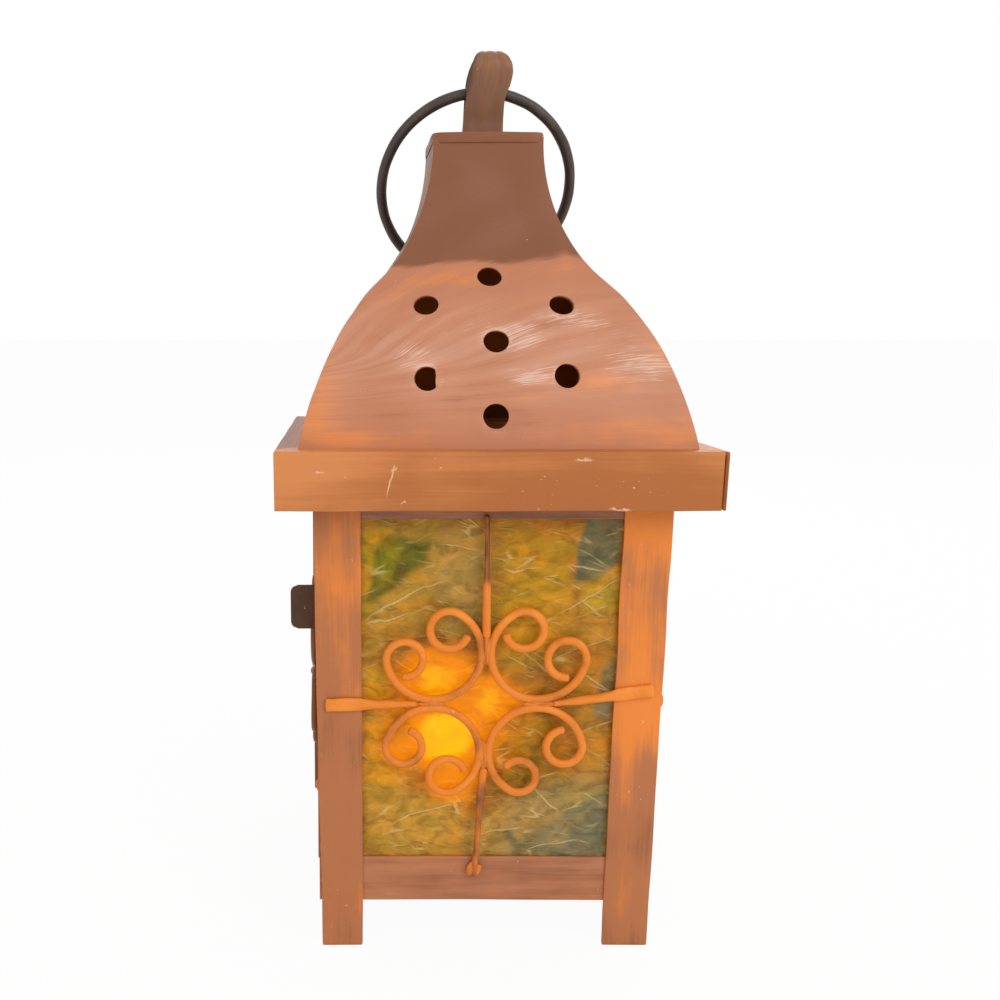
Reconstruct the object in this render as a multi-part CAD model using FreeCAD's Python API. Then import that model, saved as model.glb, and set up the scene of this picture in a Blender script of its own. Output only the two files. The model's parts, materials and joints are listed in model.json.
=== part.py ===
import FreeCAD, Part
import math
import os

# A square lantern of bent and soldered tin, with glass sides, wire scroll grilles and a punched ogee roof.
# Millimetres and degrees. +Z is up, the front faces -Y, and the origin is on the ground under the middle.
# Each side is modelled at the front and turned about Z to where it belongs.

Vector = FreeCAD.Vector

# Driving sizes of the body: the sheet, the posts and the rails between them.
body_width = 118.0
sheet = 0.8
post_leg = 16.2
post_edge_radius = 0.6
foot_height = 17.6
bottom_rail_height = 16.8
opening_height = 121.1
top_rail_height = 22.9
bottom_lip = 8.6
top_lip = 13.6

# The panes, and their play in the rails' channels.
glass_thickness = 2.6
glass_play = 0.2
glass_end_play = 0.2
glass_side_play = 1.2
glass_lift_spare = 0.4

# The eave: an angle strip bent round the body under the roof.
eave_overhang = 12.5
eave_drop = 19.0
eave_lap = 4.0
eave_edge_radius = 0.6
eave_slit = 0.6

# The ogee roof, set in from the eave's edge. Each lean is a share of the lean of the line from base to neck.
roof_inset = 7.3
neck_width = 37.6
roof_height = 101.9
base_lean_share = 0.512
shoulder_lean_share = 1.024
steepest_lean_share = 1.853
hole_diameter = 8.2
hole_pitch_radius = 26.0
hole_pattern_rise = 36.0
holes_around = 6
hole_sides = 16

# The cap that closes the neck. Its rim is folded double and stands on the neck.
cap_rise = 2.0
cap_plug_depth = 8.0
cap_corner_radius = 1.5
cap_play = 0.05

# The hanger: a strip folded into an eye, pushed through a slot in the cap and spread under it.
strap_width = 14.6
strap_thickness = 1.2
strap_rise = 29.9
strap_foot = 11.0
strap_head_radius = 3.5
strap_slot_play = 0.15
stem_height = 5.9
eye_radius = 5.2

# The ring in the eye, bent from wire.
ring_radius = 35.5
ring_wire = 4.0
ring_swing_gap = 0.3
ring_rest_gap = 0.3

# The candle and the cup that it stands in.
candle_diameter = 36.0
candle_height = 13.0
candle_shift = -6.0
wick_diameter = 1.6
wick_height = 5.0
cup_play = 0.3
cup_height = 12.0
cup_sides = 8

# The grilles: four C scrolls with two stems and two arms on each side, all of one wire.
grille_wire = 3.0
scroll_gap = 0.1
scroll_tab_gap = 0.85
grille_height = 92.2
grille_shift = -1.5
curl_radius_share = 0.383
curl_turn = 275.0
stem_side_angle = 122.0
arm_side_angle = -12.0
stem_seat_gap = 0.2
arm_end_gap = 3.7
arm_rise_right = 4.4
arm_rise_left = -0.8
top_stem_lean = -1.0
bottom_stem_lean = -2.2
stem_overlap_top = 2.0
stem_overlap_bottom = 7.0
stem_crank = 3.0
paddle_height = 4.6
paddle_length = 15.6
paddle_thickness = 1.6
paddle_end_radius = 1.6

# The door on the left side, and the tabs that hold its pane.
door_side_gap = 0.3
door_rest_gap = 0.1
door_head_gap = 0.8
door_lap = 8.9
door_stile_width = 10.0
door_top_rail_width = 10.0
door_bottom_rail_width = 11.0
door_glass_gap = 0.6
clip_thickness = 0.5
clip_length = 8.0
clip_foot = 1.6
clip_grip = 3.6
clip_play = 0.1
clip_edge_gap = 0.3
door_arm_overlap = 8.5
door_stem_overlap = 5.0

# The finger tab on the door.
tab_reach = 9.2
tab_height = 15.8
tab_rise = 21.0
tab_foot = 6.6
tab_edge_gap = 1.1
tab_corner_radius = 2.4

# The door's two hinges: knuckles on leaves, with a wire pin.
hinge_pin_diameter = 2.0
hinge_bore_play = 0.05
knuckle_diameter = 3.8
knuckle_stand_off = 0.4
knuckle_gap = 0.3
knuckle_length = 7.4
leaf_thickness = 0.6
leaf_length = 7.0
leaf_gap = 0.2
hinge_spread = 40.0
pin_end = 0.7

# How finely the bent wires and the roof are divided. Short straight runs keep their facets few.
wire_sides = 6
roof_flat_turn = 4.2
ring_sides = 8
ring_chords = 40
curl_chord_angle = 31.0
belly_chord_angle = 26.0
profile_samples = 240
overrun = 5.0
edge_match = 0.001

# Worked out from the sizes above.
half = body_width / 2
inside = half - sheet
channel_depth = glass_thickness + 2 * glass_play + 2 * sheet
pan_half = inside - channel_depth
rail_bottom = foot_height
rail_top = rail_bottom + bottom_rail_height
opening_top = rail_top + opening_height
post_top = opening_top + top_rail_height
eave_half = half + eave_overhang
eave_top = post_top + sheet
eave_bottom = eave_top - eave_drop
roof_half = eave_half - roof_inset
neck_half = neck_width / 2
neck_top = eave_top + roof_height
cap_top = neck_top + cap_rise
strap_top = cap_top + strap_rise
pane_bottom = rail_bottom + sheet
pane_top = post_top - sheet - bottom_lip - glass_lift_spare
glass_outer = inside - sheet - glass_play
pan_floor = rail_bottom + sheet
candle_radius = candle_diameter / 2
cup_radius = candle_radius + cup_play + sheet
candle_bottom = pan_floor + sheet
wire_radius = grille_wire / 2
wire_flat = wire_radius * math.cos(math.pi / wire_sides)
door_half = half - post_leg - door_side_gap
door_face = half + door_rest_gap
door_back = door_face - sheet
door_bottom = rail_top - door_lap
door_top = eave_bottom - door_head_gap
door_opening_half = door_half - door_stile_width
door_opening_bottom = door_bottom + door_bottom_rail_width
door_opening_top = door_top - door_top_rail_width
door_pane_half = door_half - clip_edge_gap - clip_foot - clip_thickness - clip_play
pin_radius = hinge_pin_diameter / 2
knuckle_radius = knuckle_diameter / 2
hinge_x = -door_half - door_side_gap / 2
hinge_y = -door_face - knuckle_stand_off - knuckle_radius
hinge_height = 2 * knuckle_length + knuckle_gap
hinge_heights = (grille_height - hinge_spread, grille_height + hinge_spread)
tab_bottom = grille_height + tab_rise

# The scrolls are as large as fits beside the finger tab's foot, and the stems start where they fit between them.
tab_foot_edge = door_half - tab_edge_gap - tab_foot
scroll_reach = tab_foot_edge - scroll_tab_gap - grille_shift
scroll_radius = (scroll_reach - grille_wire - scroll_gap / 2) / 2
curl_radius = curl_radius_share * scroll_radius
scroll_offset = scroll_radius + wire_radius + scroll_gap / 2
scroll_outer = scroll_radius + wire_radius
stem_seat = scroll_offset - wire_radius - stem_seat_gap
stem_start = scroll_offset + math.sqrt(scroll_outer ** 2 - stem_seat ** 2)
arm_end = half - arm_end_gap

SIDE_TURNS = {"front": 0, "right": 90, "back": 180, "left": 270}
QUARTERS = {
    "upper_right": (1, 1),
    "upper_left": (-1, 1),
    "lower_left": (-1, -1),
    "lower_right": (1, -1),
}


def save(name, shape):
    """Write one piece to its own file."""
    shape.exportStep("parts/" + name + ".step")


def turned(shape, degrees):
    """A copy of a front piece, turned about the middle of the lantern."""
    copy = shape.copy()
    copy.rotate(Vector(0, 0, 0), Vector(0, 0, 1), degrees)
    return copy


def block(x_range, y_range, z_range):
    """A rectangular solid between the given planes."""
    corner = Vector(x_range[0], y_range[0], z_range[0])
    size = [pair[1] - pair[0] for pair in (x_range, y_range, z_range)]
    return Part.makeBox(size[0], size[1], size[2], corner)


def polygon(points):
    """A flat face with straight edges through the points."""
    return Part.Face(Part.makePolygon(points + [points[0]]))


def along_x(section, x_range):
    """A bar of a constant section, given as (y, z) points, between two planes across X."""
    face = polygon([Vector(x_range[0], y, z) for y, z in section])
    return face.extrude(Vector(x_range[1] - x_range[0], 0, 0))


def prism(sides, inner_radius, base, run):
    """A many sided bar round a run from its base, with its flats at the inner radius."""
    across = run.cross(Vector(1, 0, 0)).normalize() if same(run.x, 0) else run.cross(Vector(0, 0, 1)).normalize()
    upward = run.cross(across).normalize()
    reach = inner_radius / math.cos(math.pi / sides)
    corners = []
    for k in range(sides):
        angle = 2 * math.pi * (k + 0.5) / sides
        corners.append(base + across * (reach * math.cos(angle)) + upward * (reach * math.sin(angle)))
    return polygon(corners).extrude(run)


def edges_through(shape, test):
    """The edges whose end points both pass the test."""
    return [e for e in shape.Edges if all(test(v.Point) for v in e.Vertexes)]


def same(a, b):
    """Whether two places are the same, when edges are picked."""
    return math.isclose(a, b, abs_tol=edge_match)


def on_circle(centre_x, centre_z, radius, degrees):
    """A point of the grille's plane, at an angle on a circle."""
    angle = math.radians(degrees)
    return (centre_x + radius * math.cos(angle), centre_z + radius * math.sin(angle))


def sections_along(points, normal, radius, sides, closed, roll):
    """Polygon rings square to a flat path, mitred where it turns. The normal is that of the path's plane.

    Without a roll two flats face along the normal. Half a side's roll turns two flats square to it.
    """
    rings = []
    last = len(points) - 1
    for i, point in enumerate(points):
        before = point - points[i - 1] if closed or i > 0 else points[1] - points[0]
        after = points[(i + 1) % len(points)] - point if closed or i < last else before
        before = before.normalize()
        after = Vector(after).normalize()
        tangent = (before + after).normalize()
        mitre = 1 / tangent.dot(after)
        across = normal.cross(tangent)
        ring = []
        for k in range(sides):
            angle = 2 * math.pi * (k + roll) / sides
            ring.append(point + across * (radius * mitre * math.cos(angle)) + normal * (radius * math.sin(angle)))
        rings.append(ring)
    return rings


def bent_wire(points, normal, diameter, sides=wire_sides, closed=False, roll=0):
    """A wire bent in one plane along short straight runs, as a solid with flat faces."""
    rings = sections_along(points, normal, diameter / 2, sides, closed, roll)
    faces = []
    pairs = list(zip(rings, rings[1:]))
    if closed:
        pairs.append((rings[-1], rings[0]))
    else:
        faces.append(polygon(rings[0][::-1]))
        faces.append(polygon(rings[-1]))
    for first, second in pairs:
        for k in range(sides):
            n = (k + 1) % sides
            faces.append(polygon([first[k], first[n], second[n], second[k]]))
    return Part.makeSolid(Part.makeShell(faces))


def angle_post():
    """The front left post: an angle with its bend outside, running from the ground to the eave."""
    outer = -half
    inner = outer + sheet
    edge = outer + post_leg
    outline = [(outer, outer), (edge, outer), (edge, inner), (inner, inner), (inner, edge), (outer, edge)]
    post = polygon([Vector(x, y, 0) for x, y in outline]).extrude(Vector(0, 0, post_top))
    bend = edges_through(post, lambda p: same(p.x, outer) and same(p.y, outer))
    return post.makeFillet(post_edge_radius, bend)


def bottom_rail(reach):
    """A channel with a tall outer wall, which the pane stands in."""
    back = -inside + channel_depth
    lip_top = rail_bottom + sheet + bottom_lip
    section = [
        (-inside, rail_bottom),
        (back, rail_bottom),
        (back, lip_top),
        (back - sheet, lip_top),
        (back - sheet, rail_bottom + sheet),
        (-inside + sheet, rail_bottom + sheet),
        (-inside + sheet, rail_top),
        (-inside, rail_top),
    ]
    return along_x(section, (-reach, reach))


def top_rail(reach):
    """The same channel upside down under the eave, deep enough to lift the pane into."""
    back = -inside + channel_depth
    lip_bottom = post_top - sheet - top_lip
    section = [
        (-inside, opening_top),
        (-inside + sheet, opening_top),
        (-inside + sheet, post_top - sheet),
        (back - sheet, post_top - sheet),
        (back - sheet, lip_bottom),
        (back, lip_bottom),
        (back, post_top),
        (-inside, post_top),
    ]
    return along_x(section, (-reach, reach))


def pane(reach):
    """A pane standing in the channels of its two rails."""
    return block((-reach, reach), (-glass_outer, -glass_outer + glass_thickness), (pane_bottom, pane_top))


def eave_band():
    """An angle strip bent round four corners. Its seam is an open slit at the front right corner."""
    outer = (-eave_half, eave_half)
    skirt_inner = (-eave_half + sheet, eave_half - sheet)
    lap_inner = (-half + eave_lap, half - eave_lap)
    band = block(outer, outer, (eave_bottom, eave_top))
    band = band.cut(block(skirt_inner, skirt_inner, (eave_bottom, post_top)))
    band = band.cut(block(lap_inner, lap_inner, (eave_bottom, eave_top)))


    def is_top_rim(point):
        return same(abs(point.x), eave_half) and same(abs(point.y), eave_half) and same(point.z, eave_top)

    band = band.makeFillet(eave_edge_radius, edges_through(band, is_top_rim))
    seam_x = (eave_half - sheet - eave_slit, eave_half - sheet)
    return band.cut(block(seam_x, (-eave_half, -eave_half + sheet), (eave_bottom, post_top)))


class OgeeOutline:
    """The outside of a roof panel seen from the side: a belly arc, a shoulder arc and a sweep up to the neck.

    The three arcs run on into each other. Leans are from the vertical, and the sweep ends upright.
    The shoulder and the sweep are bent to one radius, in opposite ways.
    """

    def __init__(self):
        step = roof_half - neck_half
        chord = math.atan2(step, roof_height)
        lean = [share * chord for share in (base_lean_share, shoulder_lean_share, steepest_lean_share)]
        sines = [math.sin(a) for a in lean]
        cosines = [math.cos(a) for a in lean]
        belly_up = sines[1] - sines[0]
        belly_in = cosines[0] - cosines[1]
        bends_up = 2 * sines[2] - sines[1]
        bends_in = cosines[1] - 2 * cosines[2] + 1
        area = belly_up * bends_in - bends_up * belly_in
        self.belly_radius = (roof_height * bends_in - step * bends_up) / area
        self.bend_radius = (belly_up * step - belly_in * roof_height) / area
        self.lean = lean
        self.ends = [0, self.belly_radius * (lean[1] - lean[0])]
        self.ends.append(self.ends[1] + self.bend_radius * (lean[2] - lean[1]))
        self.ends.append(self.ends[2] + self.bend_radius * lean[2])

    def at(self, run, depth=0):
        """Half width, height and lean at a run along the outside from the base, at a depth in the sheet."""
        if run <= self.ends[1]:
            lean = self.lean[0] + run / self.belly_radius
            out = roof_half - self.belly_radius * (math.cos(self.lean[0]) - math.cos(lean))
            up = self.belly_radius * (math.sin(lean) - math.sin(self.lean[0]))
        elif run <= self.ends[2]:
            corner = self.at(self.ends[1])
            lean = self.lean[1] + (run - self.ends[1]) / self.bend_radius
            out = corner[0] - self.bend_radius * (math.cos(self.lean[1]) - math.cos(lean))
            up = corner[1] - eave_top + self.bend_radius * (math.sin(lean) - math.sin(self.lean[1]))
        else:
            lean = (self.ends[3] - run) / self.bend_radius
            out = neck_half + self.bend_radius * (1 - math.cos(lean))
            up = roof_height - self.bend_radius * math.sin(lean)
        return (out - depth * math.cos(lean), eave_top + up - depth * math.sin(lean), lean)

    def runs(self):
        """The places along the outside where the sheet turns, evenly spaced on each arc."""
        places = [0]
        radii = (self.belly_radius, self.bend_radius, self.bend_radius)
        for start, end, radius in zip(self.ends, self.ends[1:], radii):
            flats = math.ceil(math.degrees((end - start) / radius) / roof_flat_turn)
            places += [start + (end - start) * k / flats for k in range(1, flats + 1)]
        return places


ogee = OgeeOutline()


def roof_panel():
    """The front roof panel: a sheet bent to the ogee, mitred at the hips and punched on a hexagon."""
    reach = roof_half + overrun
    outside = [ogee.at(run) for run in ogee.runs()]
    underside = [ogee.at(run, sheet) for run in ogee.runs()]
    section = [(-out, up) for out, up, lean in outside + underside[::-1]]
    bent = along_x(section, (-reach, reach))
    quarter = polygon([Vector(0, 0, eave_top), Vector(-reach, -reach, eave_top), Vector(reach, -reach, eave_top)])
    panel = bent.common(quarter.extrude(Vector(0, 0, roof_height)))
    return panel.cut(Part.makeCompound(hole_cutters()))


def hole_cutters():
    """Punches square to the sheet: one in the middle of the pattern and the rest on a circle round it."""
    places = [(0, hole_pattern_rise)]
    for k in range(holes_around):
        angle = math.radians(90 + 360 * k / holes_around)
        across = hole_pitch_radius * math.cos(angle)
        places.append((across, hole_pattern_rise + hole_pitch_radius * math.sin(angle)))
    cutters = []
    for x, run in places:
        out, up, lean = ogee.at(run)
        normal = Vector(0, -math.cos(lean), math.sin(lean))
        base = Vector(x, -out, up) - normal * overrun
        cutters.append(prism(hole_sides, hole_diameter / 2, base, normal * (2 * overrun)))
    return cutters


def rounded_tray(reach, z_range):
    """A square block round the axis with rounded uprights."""
    tray = block((-reach, reach), (-reach, reach), z_range)
    uprights = [e for e in tray.Edges if not same(e.Vertexes[0].Z, e.Vertexes[1].Z)]
    return tray.makeFillet(cap_corner_radius, uprights)


def roof_cap():
    """A lid with a rim on the neck, walls that reach down into it and a slot for the hanger."""
    plug = neck_half - sheet - cap_play
    hollow = plug - sheet
    plug_foot = neck_top - cap_plug_depth
    cap = rounded_tray(neck_half, (neck_top, cap_top)).fuse(rounded_tray(plug, (plug_foot, neck_top)))
    cap = cap.cut(block((-hollow, hollow), (-hollow, hollow), (plug_foot, cap_top - sheet)))
    slot_x = strap_width / 2 + strap_slot_play
    slot_y = strap_thickness + strap_slot_play
    return cap.cut(block((-slot_x, slot_x), (-slot_y, slot_y), (neck_top, cap_top)))


eye_centre = strap_top - strap_thickness - eye_radius
pinch_height = cap_top + stem_height
eye_half_angle = math.asin(eye_radius / (eye_centre - pinch_height))
ring_sagitta = ring_radius - math.sqrt(ring_radius ** 2 - (strap_width / 2) ** 2)
eye_clear_radius = ring_wire / 2 + ring_sagitta + ring_swing_gap
ring_pivot_height = pinch_height + eye_clear_radius / math.sin(eye_half_angle)


def teardrop(radius, foot_y, foot_z):
    """Edges of half a turn of the eye and its two straight flanks, down to a foot on either side."""
    across = radius * math.cos(eye_half_angle)
    drop = radius * math.sin(eye_half_angle)
    left = Vector(0, -across, eye_centre - drop)
    right = Vector(0, across, eye_centre - drop)
    crown = Part.Arc(left, Vector(0, 0, eye_centre + radius), right).toShape()
    flanks = [Part.makeLine(Vector(0, -foot_y, foot_z), left), Part.makeLine(right, Vector(0, foot_y, foot_z))]
    return [flanks[0], crown, flanks[1]]


def hanger_strap():
    """A strip folded over into an eye, its two halves pressed flat in the stem and spread under the cap."""
    outer_radius = eye_radius + strap_thickness
    cosine = math.cos(eye_half_angle)
    sine = math.sin(eye_half_angle)
    flank = (outer_radius * cosine - strap_thickness) / sine
    shoulder_z = eye_centre - outer_radius * sine - flank * cosine
    under = cap_top - sheet
    foot = under - strap_thickness
    t = strap_thickness
    below = [(t, shoulder_z), (t, under), (strap_foot, under), (strap_foot, foot)]
    below += [(-y, z) for y, z in below[::-1]]
    outline = teardrop(outer_radius, t, shoulder_z)
    outline += Part.makePolygon([Vector(0, y, z) for y, z in below]).Edges
    eye = teardrop(eye_radius, 0, pinch_height)
    section = Part.Face(Part.Wire(outline)).cut(Part.Face(Part.Wire(eye)))
    strap = section.extrude(Vector(strap_width, 0, 0))
    strap.translate(Vector(-strap_width / 2, 0, 0))
    front = block((-strap_width / 2, strap_width / 2), (-strap_foot, strap_foot), (foot, strap_top))
    shoulders = edges_through(front, lambda p: same(p.z, strap_top))
    shoulders = [e for e in shoulders if same(e.Vertexes[0].X, e.Vertexes[1].X)]
    return strap.common(front.makeFillet(strap_head_radius, shoulders))


def ring_points(lean):
    """Points of the ring's centre line when it leans back from hanging straight down."""
    points = []
    for k in range(ring_chords):
        angle = 2 * math.pi * k / ring_chords
        along = ring_radius * (1 - math.cos(angle))
        y = along * math.sin(lean)
        points.append(Vector(ring_radius * math.sin(angle), y, ring_pivot_height - along * math.cos(lean)))
    return points


def ring_clearance(lean):
    """The least gap between the leaning ring and the back of the roof."""
    length = ogee.ends[-1]
    roof = [ogee.at(length * k / profile_samples) for k in range(profile_samples + 1)]
    gaps = []
    for point in ring_points(lean):
        out, up, slope = min(roof, key=lambda r: (point.y - r[0]) ** 2 + (point.z - r[1]) ** 2)
        if abs(point.x) <= out + ring_wire and point.z < neck_top:
            gaps.append((point.y - out) * math.cos(slope) + (point.z - up) * math.sin(slope))
    return min(gaps, default=ring_wire) - ring_wire / 2


def ring_rest_lean():
    """The lean at which the ring comes to rest on the back of the roof, found by halving."""
    low = 0
    high = math.pi / 2
    for _ in range(wire_sides * ring_sides):
        middle = (low + high) / 2
        if ring_clearance(middle) < ring_rest_gap:
            low = middle
        else:
            high = middle
    return high


def hanging_ring():
    """The ring, leaning back on the roof with its top in the eye."""
    lean = ring_rest_lean()
    normal = Vector(0, math.cos(lean), math.sin(lean))
    return bent_wire(ring_points(lean), normal, ring_wire, ring_sides, closed=True)


def floor_pan():
    """A square tray between the rails, its rim against their lips."""
    rim_top = rail_bottom + sheet + bottom_lip
    tray = block((-pan_half, pan_half), (-pan_half, pan_half), (rail_bottom, rim_top))
    hollow = pan_half - sheet
    return tray.cut(block((-hollow, hollow), (-hollow, hollow), (pan_floor, rim_top)))


def candle_cup():
    """An eight sided cup, bent up from a flat blank, on the floor pan."""
    base = Vector(candle_shift, 0, pan_floor)
    cup = prism(cup_sides, cup_radius, base, Vector(0, 0, cup_height))
    hollow = prism(cup_sides, cup_radius - sheet, base + Vector(0, 0, sheet), Vector(0, 0, cup_height))
    return cup.cut(hollow)


def candle():
    """A part burnt candle, standing in the cup."""
    return Part.makeCylinder(candle_radius, candle_height, Vector(candle_shift, 0, candle_bottom))


def wick():
    """The wick, standing on the middle of the candle."""
    foot = Vector(candle_shift, 0, candle_bottom + candle_height)
    return Part.makeCylinder(wick_diameter / 2, wick_height, foot)


def arc_points(centre, radius, start, sweep, chord_angle):
    """Points on an arc, without its first one, spaced by about the chord angle."""
    steps = math.ceil(sweep / chord_angle)
    return [on_circle(centre[0], centre[1], radius, start + sweep * k / steps) for k in range(1, steps + 1)]


def scroll_outline():
    """The upper right C scroll: a curl, the belly and a second curl, each arc inside the one it leaves.

    The belly is divided at the two places where it meets its neighbours.
    """
    middle = (scroll_offset, scroll_offset)
    inset = scroll_radius - curl_radius
    stem_curl = on_circle(middle[0], middle[1], inset, stem_side_angle)
    arm_curl = on_circle(middle[0], middle[1], inset, arm_side_angle)
    first = stem_side_angle - curl_turn
    belly = [stem_side_angle, 180, 270, 360 + arm_side_angle]
    points = [on_circle(stem_curl[0], stem_curl[1], curl_radius, first)]
    points += arc_points(stem_curl, curl_radius, first, curl_turn, curl_chord_angle)
    for start, end in zip(belly, belly[1:]):
        points += arc_points(middle, scroll_radius, start, end - start, belly_chord_angle)
    points += arc_points(arm_curl, curl_radius, arm_side_angle, curl_turn, curl_chord_angle)
    return points


def scroll(quarter, face):
    """A C scroll in one quarter of a grille whose wires lie on the given face."""
    x_sign, z_sign = QUARTERS[quarter]
    depth = -face - wire_flat
    path = [Vector(grille_shift + x_sign * x, depth, grille_height + z_sign * z) for x, z in scroll_outline()]
    return bent_wire(path, Vector(0, 1, 0), grille_wire)


def arm(x_sign, rise, end, paddle, face):
    """A level wire from between the scrolls to a hammered paddle, which is soldered on the face."""
    depth = -face - wire_flat
    start = Vector(grille_shift + x_sign * stem_start, depth, grille_height)
    finish = Vector(x_sign * end, depth, grille_height + rise)
    run = finish - start
    flat = block((-paddle, 0), (-face - paddle_thickness, -face), (-paddle_height / 2, paddle_height / 2))
    corners = [e for e in flat.Edges if same(e.Vertexes[0].X, 0) and same(e.Vertexes[1].X, 0)]
    corners = [e for e in corners if not same(e.Vertexes[0].Y, e.Vertexes[1].Y)]
    flat = flat.makeFillet(paddle_end_radius, corners)
    slope = math.degrees(math.atan2(run.z, abs(run.x)))
    flat.rotate(Vector(0, 0, 0), Vector(0, 1, 0), -slope)
    if x_sign < 0:
        flat = flat.mirror(Vector(0, 0, 0), Vector(1, 0, 0))
    flat.translate(Vector(finish.x, 0, finish.z))
    seat = start + run * ((run.Length - paddle / 2) / run.Length)
    return bent_wire([start, seat], Vector(0, 1, 0), grille_wire).fuse(flat)


def stem(z_sign, lean, end_z, edge_z, face, rail_face):
    """An upright wire from between the scrolls to the rail, cranked back to the rail's face."""
    depth = -face - wire_flat
    seat = -rail_face - wire_flat
    start_z = grille_height + z_sign * stem_start
    bend = edge_z - z_sign * stem_crank
    path = [Vector(grille_shift, depth, start_z), Vector(grille_shift, depth, bend)]
    path += [Vector(grille_shift, seat, edge_z), Vector(grille_shift, seat, end_z)]
    if same(depth, seat):
        path = [path[0], path[-1]]
    wire = bent_wire(path, Vector(1, 0, 0), grille_wire, roll=1 / 2)
    slope = math.degrees(math.atan2(lean, abs(end_z - start_z)))
    wire.rotate(path[0], Vector(0, 1, 0), z_sign * slope)
    return wire


def grille_arms(face, rail_face, ends, paddle, stem_ends, opening):
    """The two arms and two stems of one grille, as separate wires."""
    return Part.makeCompound([
        arm(1, arm_rise_right, ends, paddle, face),
        arm(-1, arm_rise_left, ends, paddle, face),
        stem(1, top_stem_lean, stem_ends[1], opening[1], face, rail_face),
        stem(-1, bottom_stem_lean, stem_ends[0], opening[0], face, rail_face),
    ])


def door_member(x_range, z_range):
    """A flat strip of the door frame."""
    return block(x_range, (-door_face, -door_back), z_range)


def door_glass():
    """The door's pane, behind its frame and small enough to pass between the rails and posts."""
    heights = (rail_top + door_glass_gap, opening_top - door_glass_gap)
    return block((-door_pane_half, door_pane_half), (-door_back, -door_back + glass_thickness), heights)


def door_clips():
    """Bent tabs on the stiles that hold the door's pane, three a side."""
    riser_x = door_pane_half + clip_play
    foot_x = riser_x + clip_thickness
    inner_y = -door_back + glass_thickness
    section = [
        (foot_x + clip_foot, -door_back),
        (foot_x + clip_foot, -door_back + clip_thickness),
        (foot_x, -door_back + clip_thickness),
        (foot_x, inner_y + clip_thickness),
        (riser_x - clip_grip, inner_y + clip_thickness),
        (riser_x - clip_grip, inner_y),
        (riser_x, inner_y),
        (riser_x, -door_back),
    ]
    rows = 3
    clips = []
    for row in range(rows):
        middle = rail_top + opening_height * (row + 0.5) / rows
        base = middle - clip_length / 2
        tab = polygon([Vector(x, y, base) for x, y in section]).extrude(Vector(0, 0, clip_length))
        clips += [tab, tab.mirror(Vector(0, 0, 0), Vector(1, 0, 0))]
    return Part.makeCompound(clips)


def finger_tab():
    """A bent tab that stands out from the latch stile, with its foot soldered on it."""
    fin_x = tab_foot_edge + tab_foot
    heights = (tab_bottom, tab_bottom + tab_height)
    tip = -door_face - tab_reach
    fin = block((fin_x - sheet, fin_x), (tip, -door_face), heights)
    corners = edges_through(fin, lambda p: same(p.y, tip))
    corners = [e for e in corners if same(e.Vertexes[0].Z, e.Vertexes[1].Z)]
    fin = fin.makeFillet(tab_corner_radius, corners)
    foot = block((fin_x - tab_foot, fin_x), (-door_face - sheet, -door_face), heights)
    return fin.fuse(foot).removeSplitter()


def knuckle(x_side, face, heights):
    """A rolled knuckle on the hinge line, with the web that joins it to its leaf on one side."""
    length = heights[1] - heights[0]
    centre = Vector(hinge_x, hinge_y, heights[0])
    web_end = hinge_x + x_side * (knuckle_radius + leaf_gap)
    web = block(sorted((hinge_x, web_end)), (hinge_y, -face), heights)
    roll = Part.makeCylinder(knuckle_radius, length, centre).fuse(web)
    return roll.cut(Part.makeCylinder(pin_radius + hinge_bore_play, length, centre))


def leaf(x_side, face, heights):
    """The flat leaf beside the knuckles."""
    near = hinge_x + x_side * (knuckle_radius + leaf_gap)
    return block(sorted((near, near + x_side * leaf_length)), (-face - leaf_thickness, -face), heights)


def hinge_leaves(of_door):
    """The door side or the post side of both hinges. The door's knuckle stands on the post's."""
    sides = []
    for middle in hinge_heights:
        low = middle - hinge_height / 2
        high = middle + hinge_height / 2
        x_side = 1 if of_door else -1
        face = door_face if of_door else half
        heights = (high - knuckle_length, high) if of_door else (low, low + knuckle_length)
        plate = leaf(x_side, face, (low, high)).fuse(knuckle(x_side, face, heights))
        sides.append(plate.removeSplitter())
    return Part.makeCompound(sides)


def hinge_pins():
    """A plain wire pin through each hinge."""
    pins = []
    for middle in hinge_heights:
        foot = Vector(hinge_x, hinge_y, middle - hinge_height / 2 - pin_end)
        pins.append(Part.makeCylinder(pin_radius, hinge_height + 2 * pin_end, foot))
    return Part.makeCompound(pins)


def save_body():
    """The frame, panes and roof."""
    post = angle_post()
    for name, turn in (("front_left", 0), ("front_right", 90), ("back_right", 180), ("back_left", 270)):
        save("post_" + name, turned(post, turn))
    panel = roof_panel()
    for side, turn in SIDE_TURNS.items():
        long_side = side in ("front", "back")
        reach = inside if long_side else pan_half
        save("bottom_rail_" + side, turned(bottom_rail(reach), turn))
        save("top_rail_" + side, turned(top_rail(reach), turn))
        save("roof_panel_" + side, turned(panel, turn))
        if side != "left":
            glass_reach = inside - glass_side_play if long_side else pan_half - glass_end_play
            save("glass_" + side, turned(pane(glass_reach), turn))
    save("eave_band", eave_band())
    save("roof_cap", roof_cap())
    save("hanger_strap", hanger_strap())
    save("hanging_ring", hanging_ring())
    save("floor_pan", floor_pan())
    save("candle_cup", candle_cup())
    save("candle", candle())
    save("wick", wick())


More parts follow.
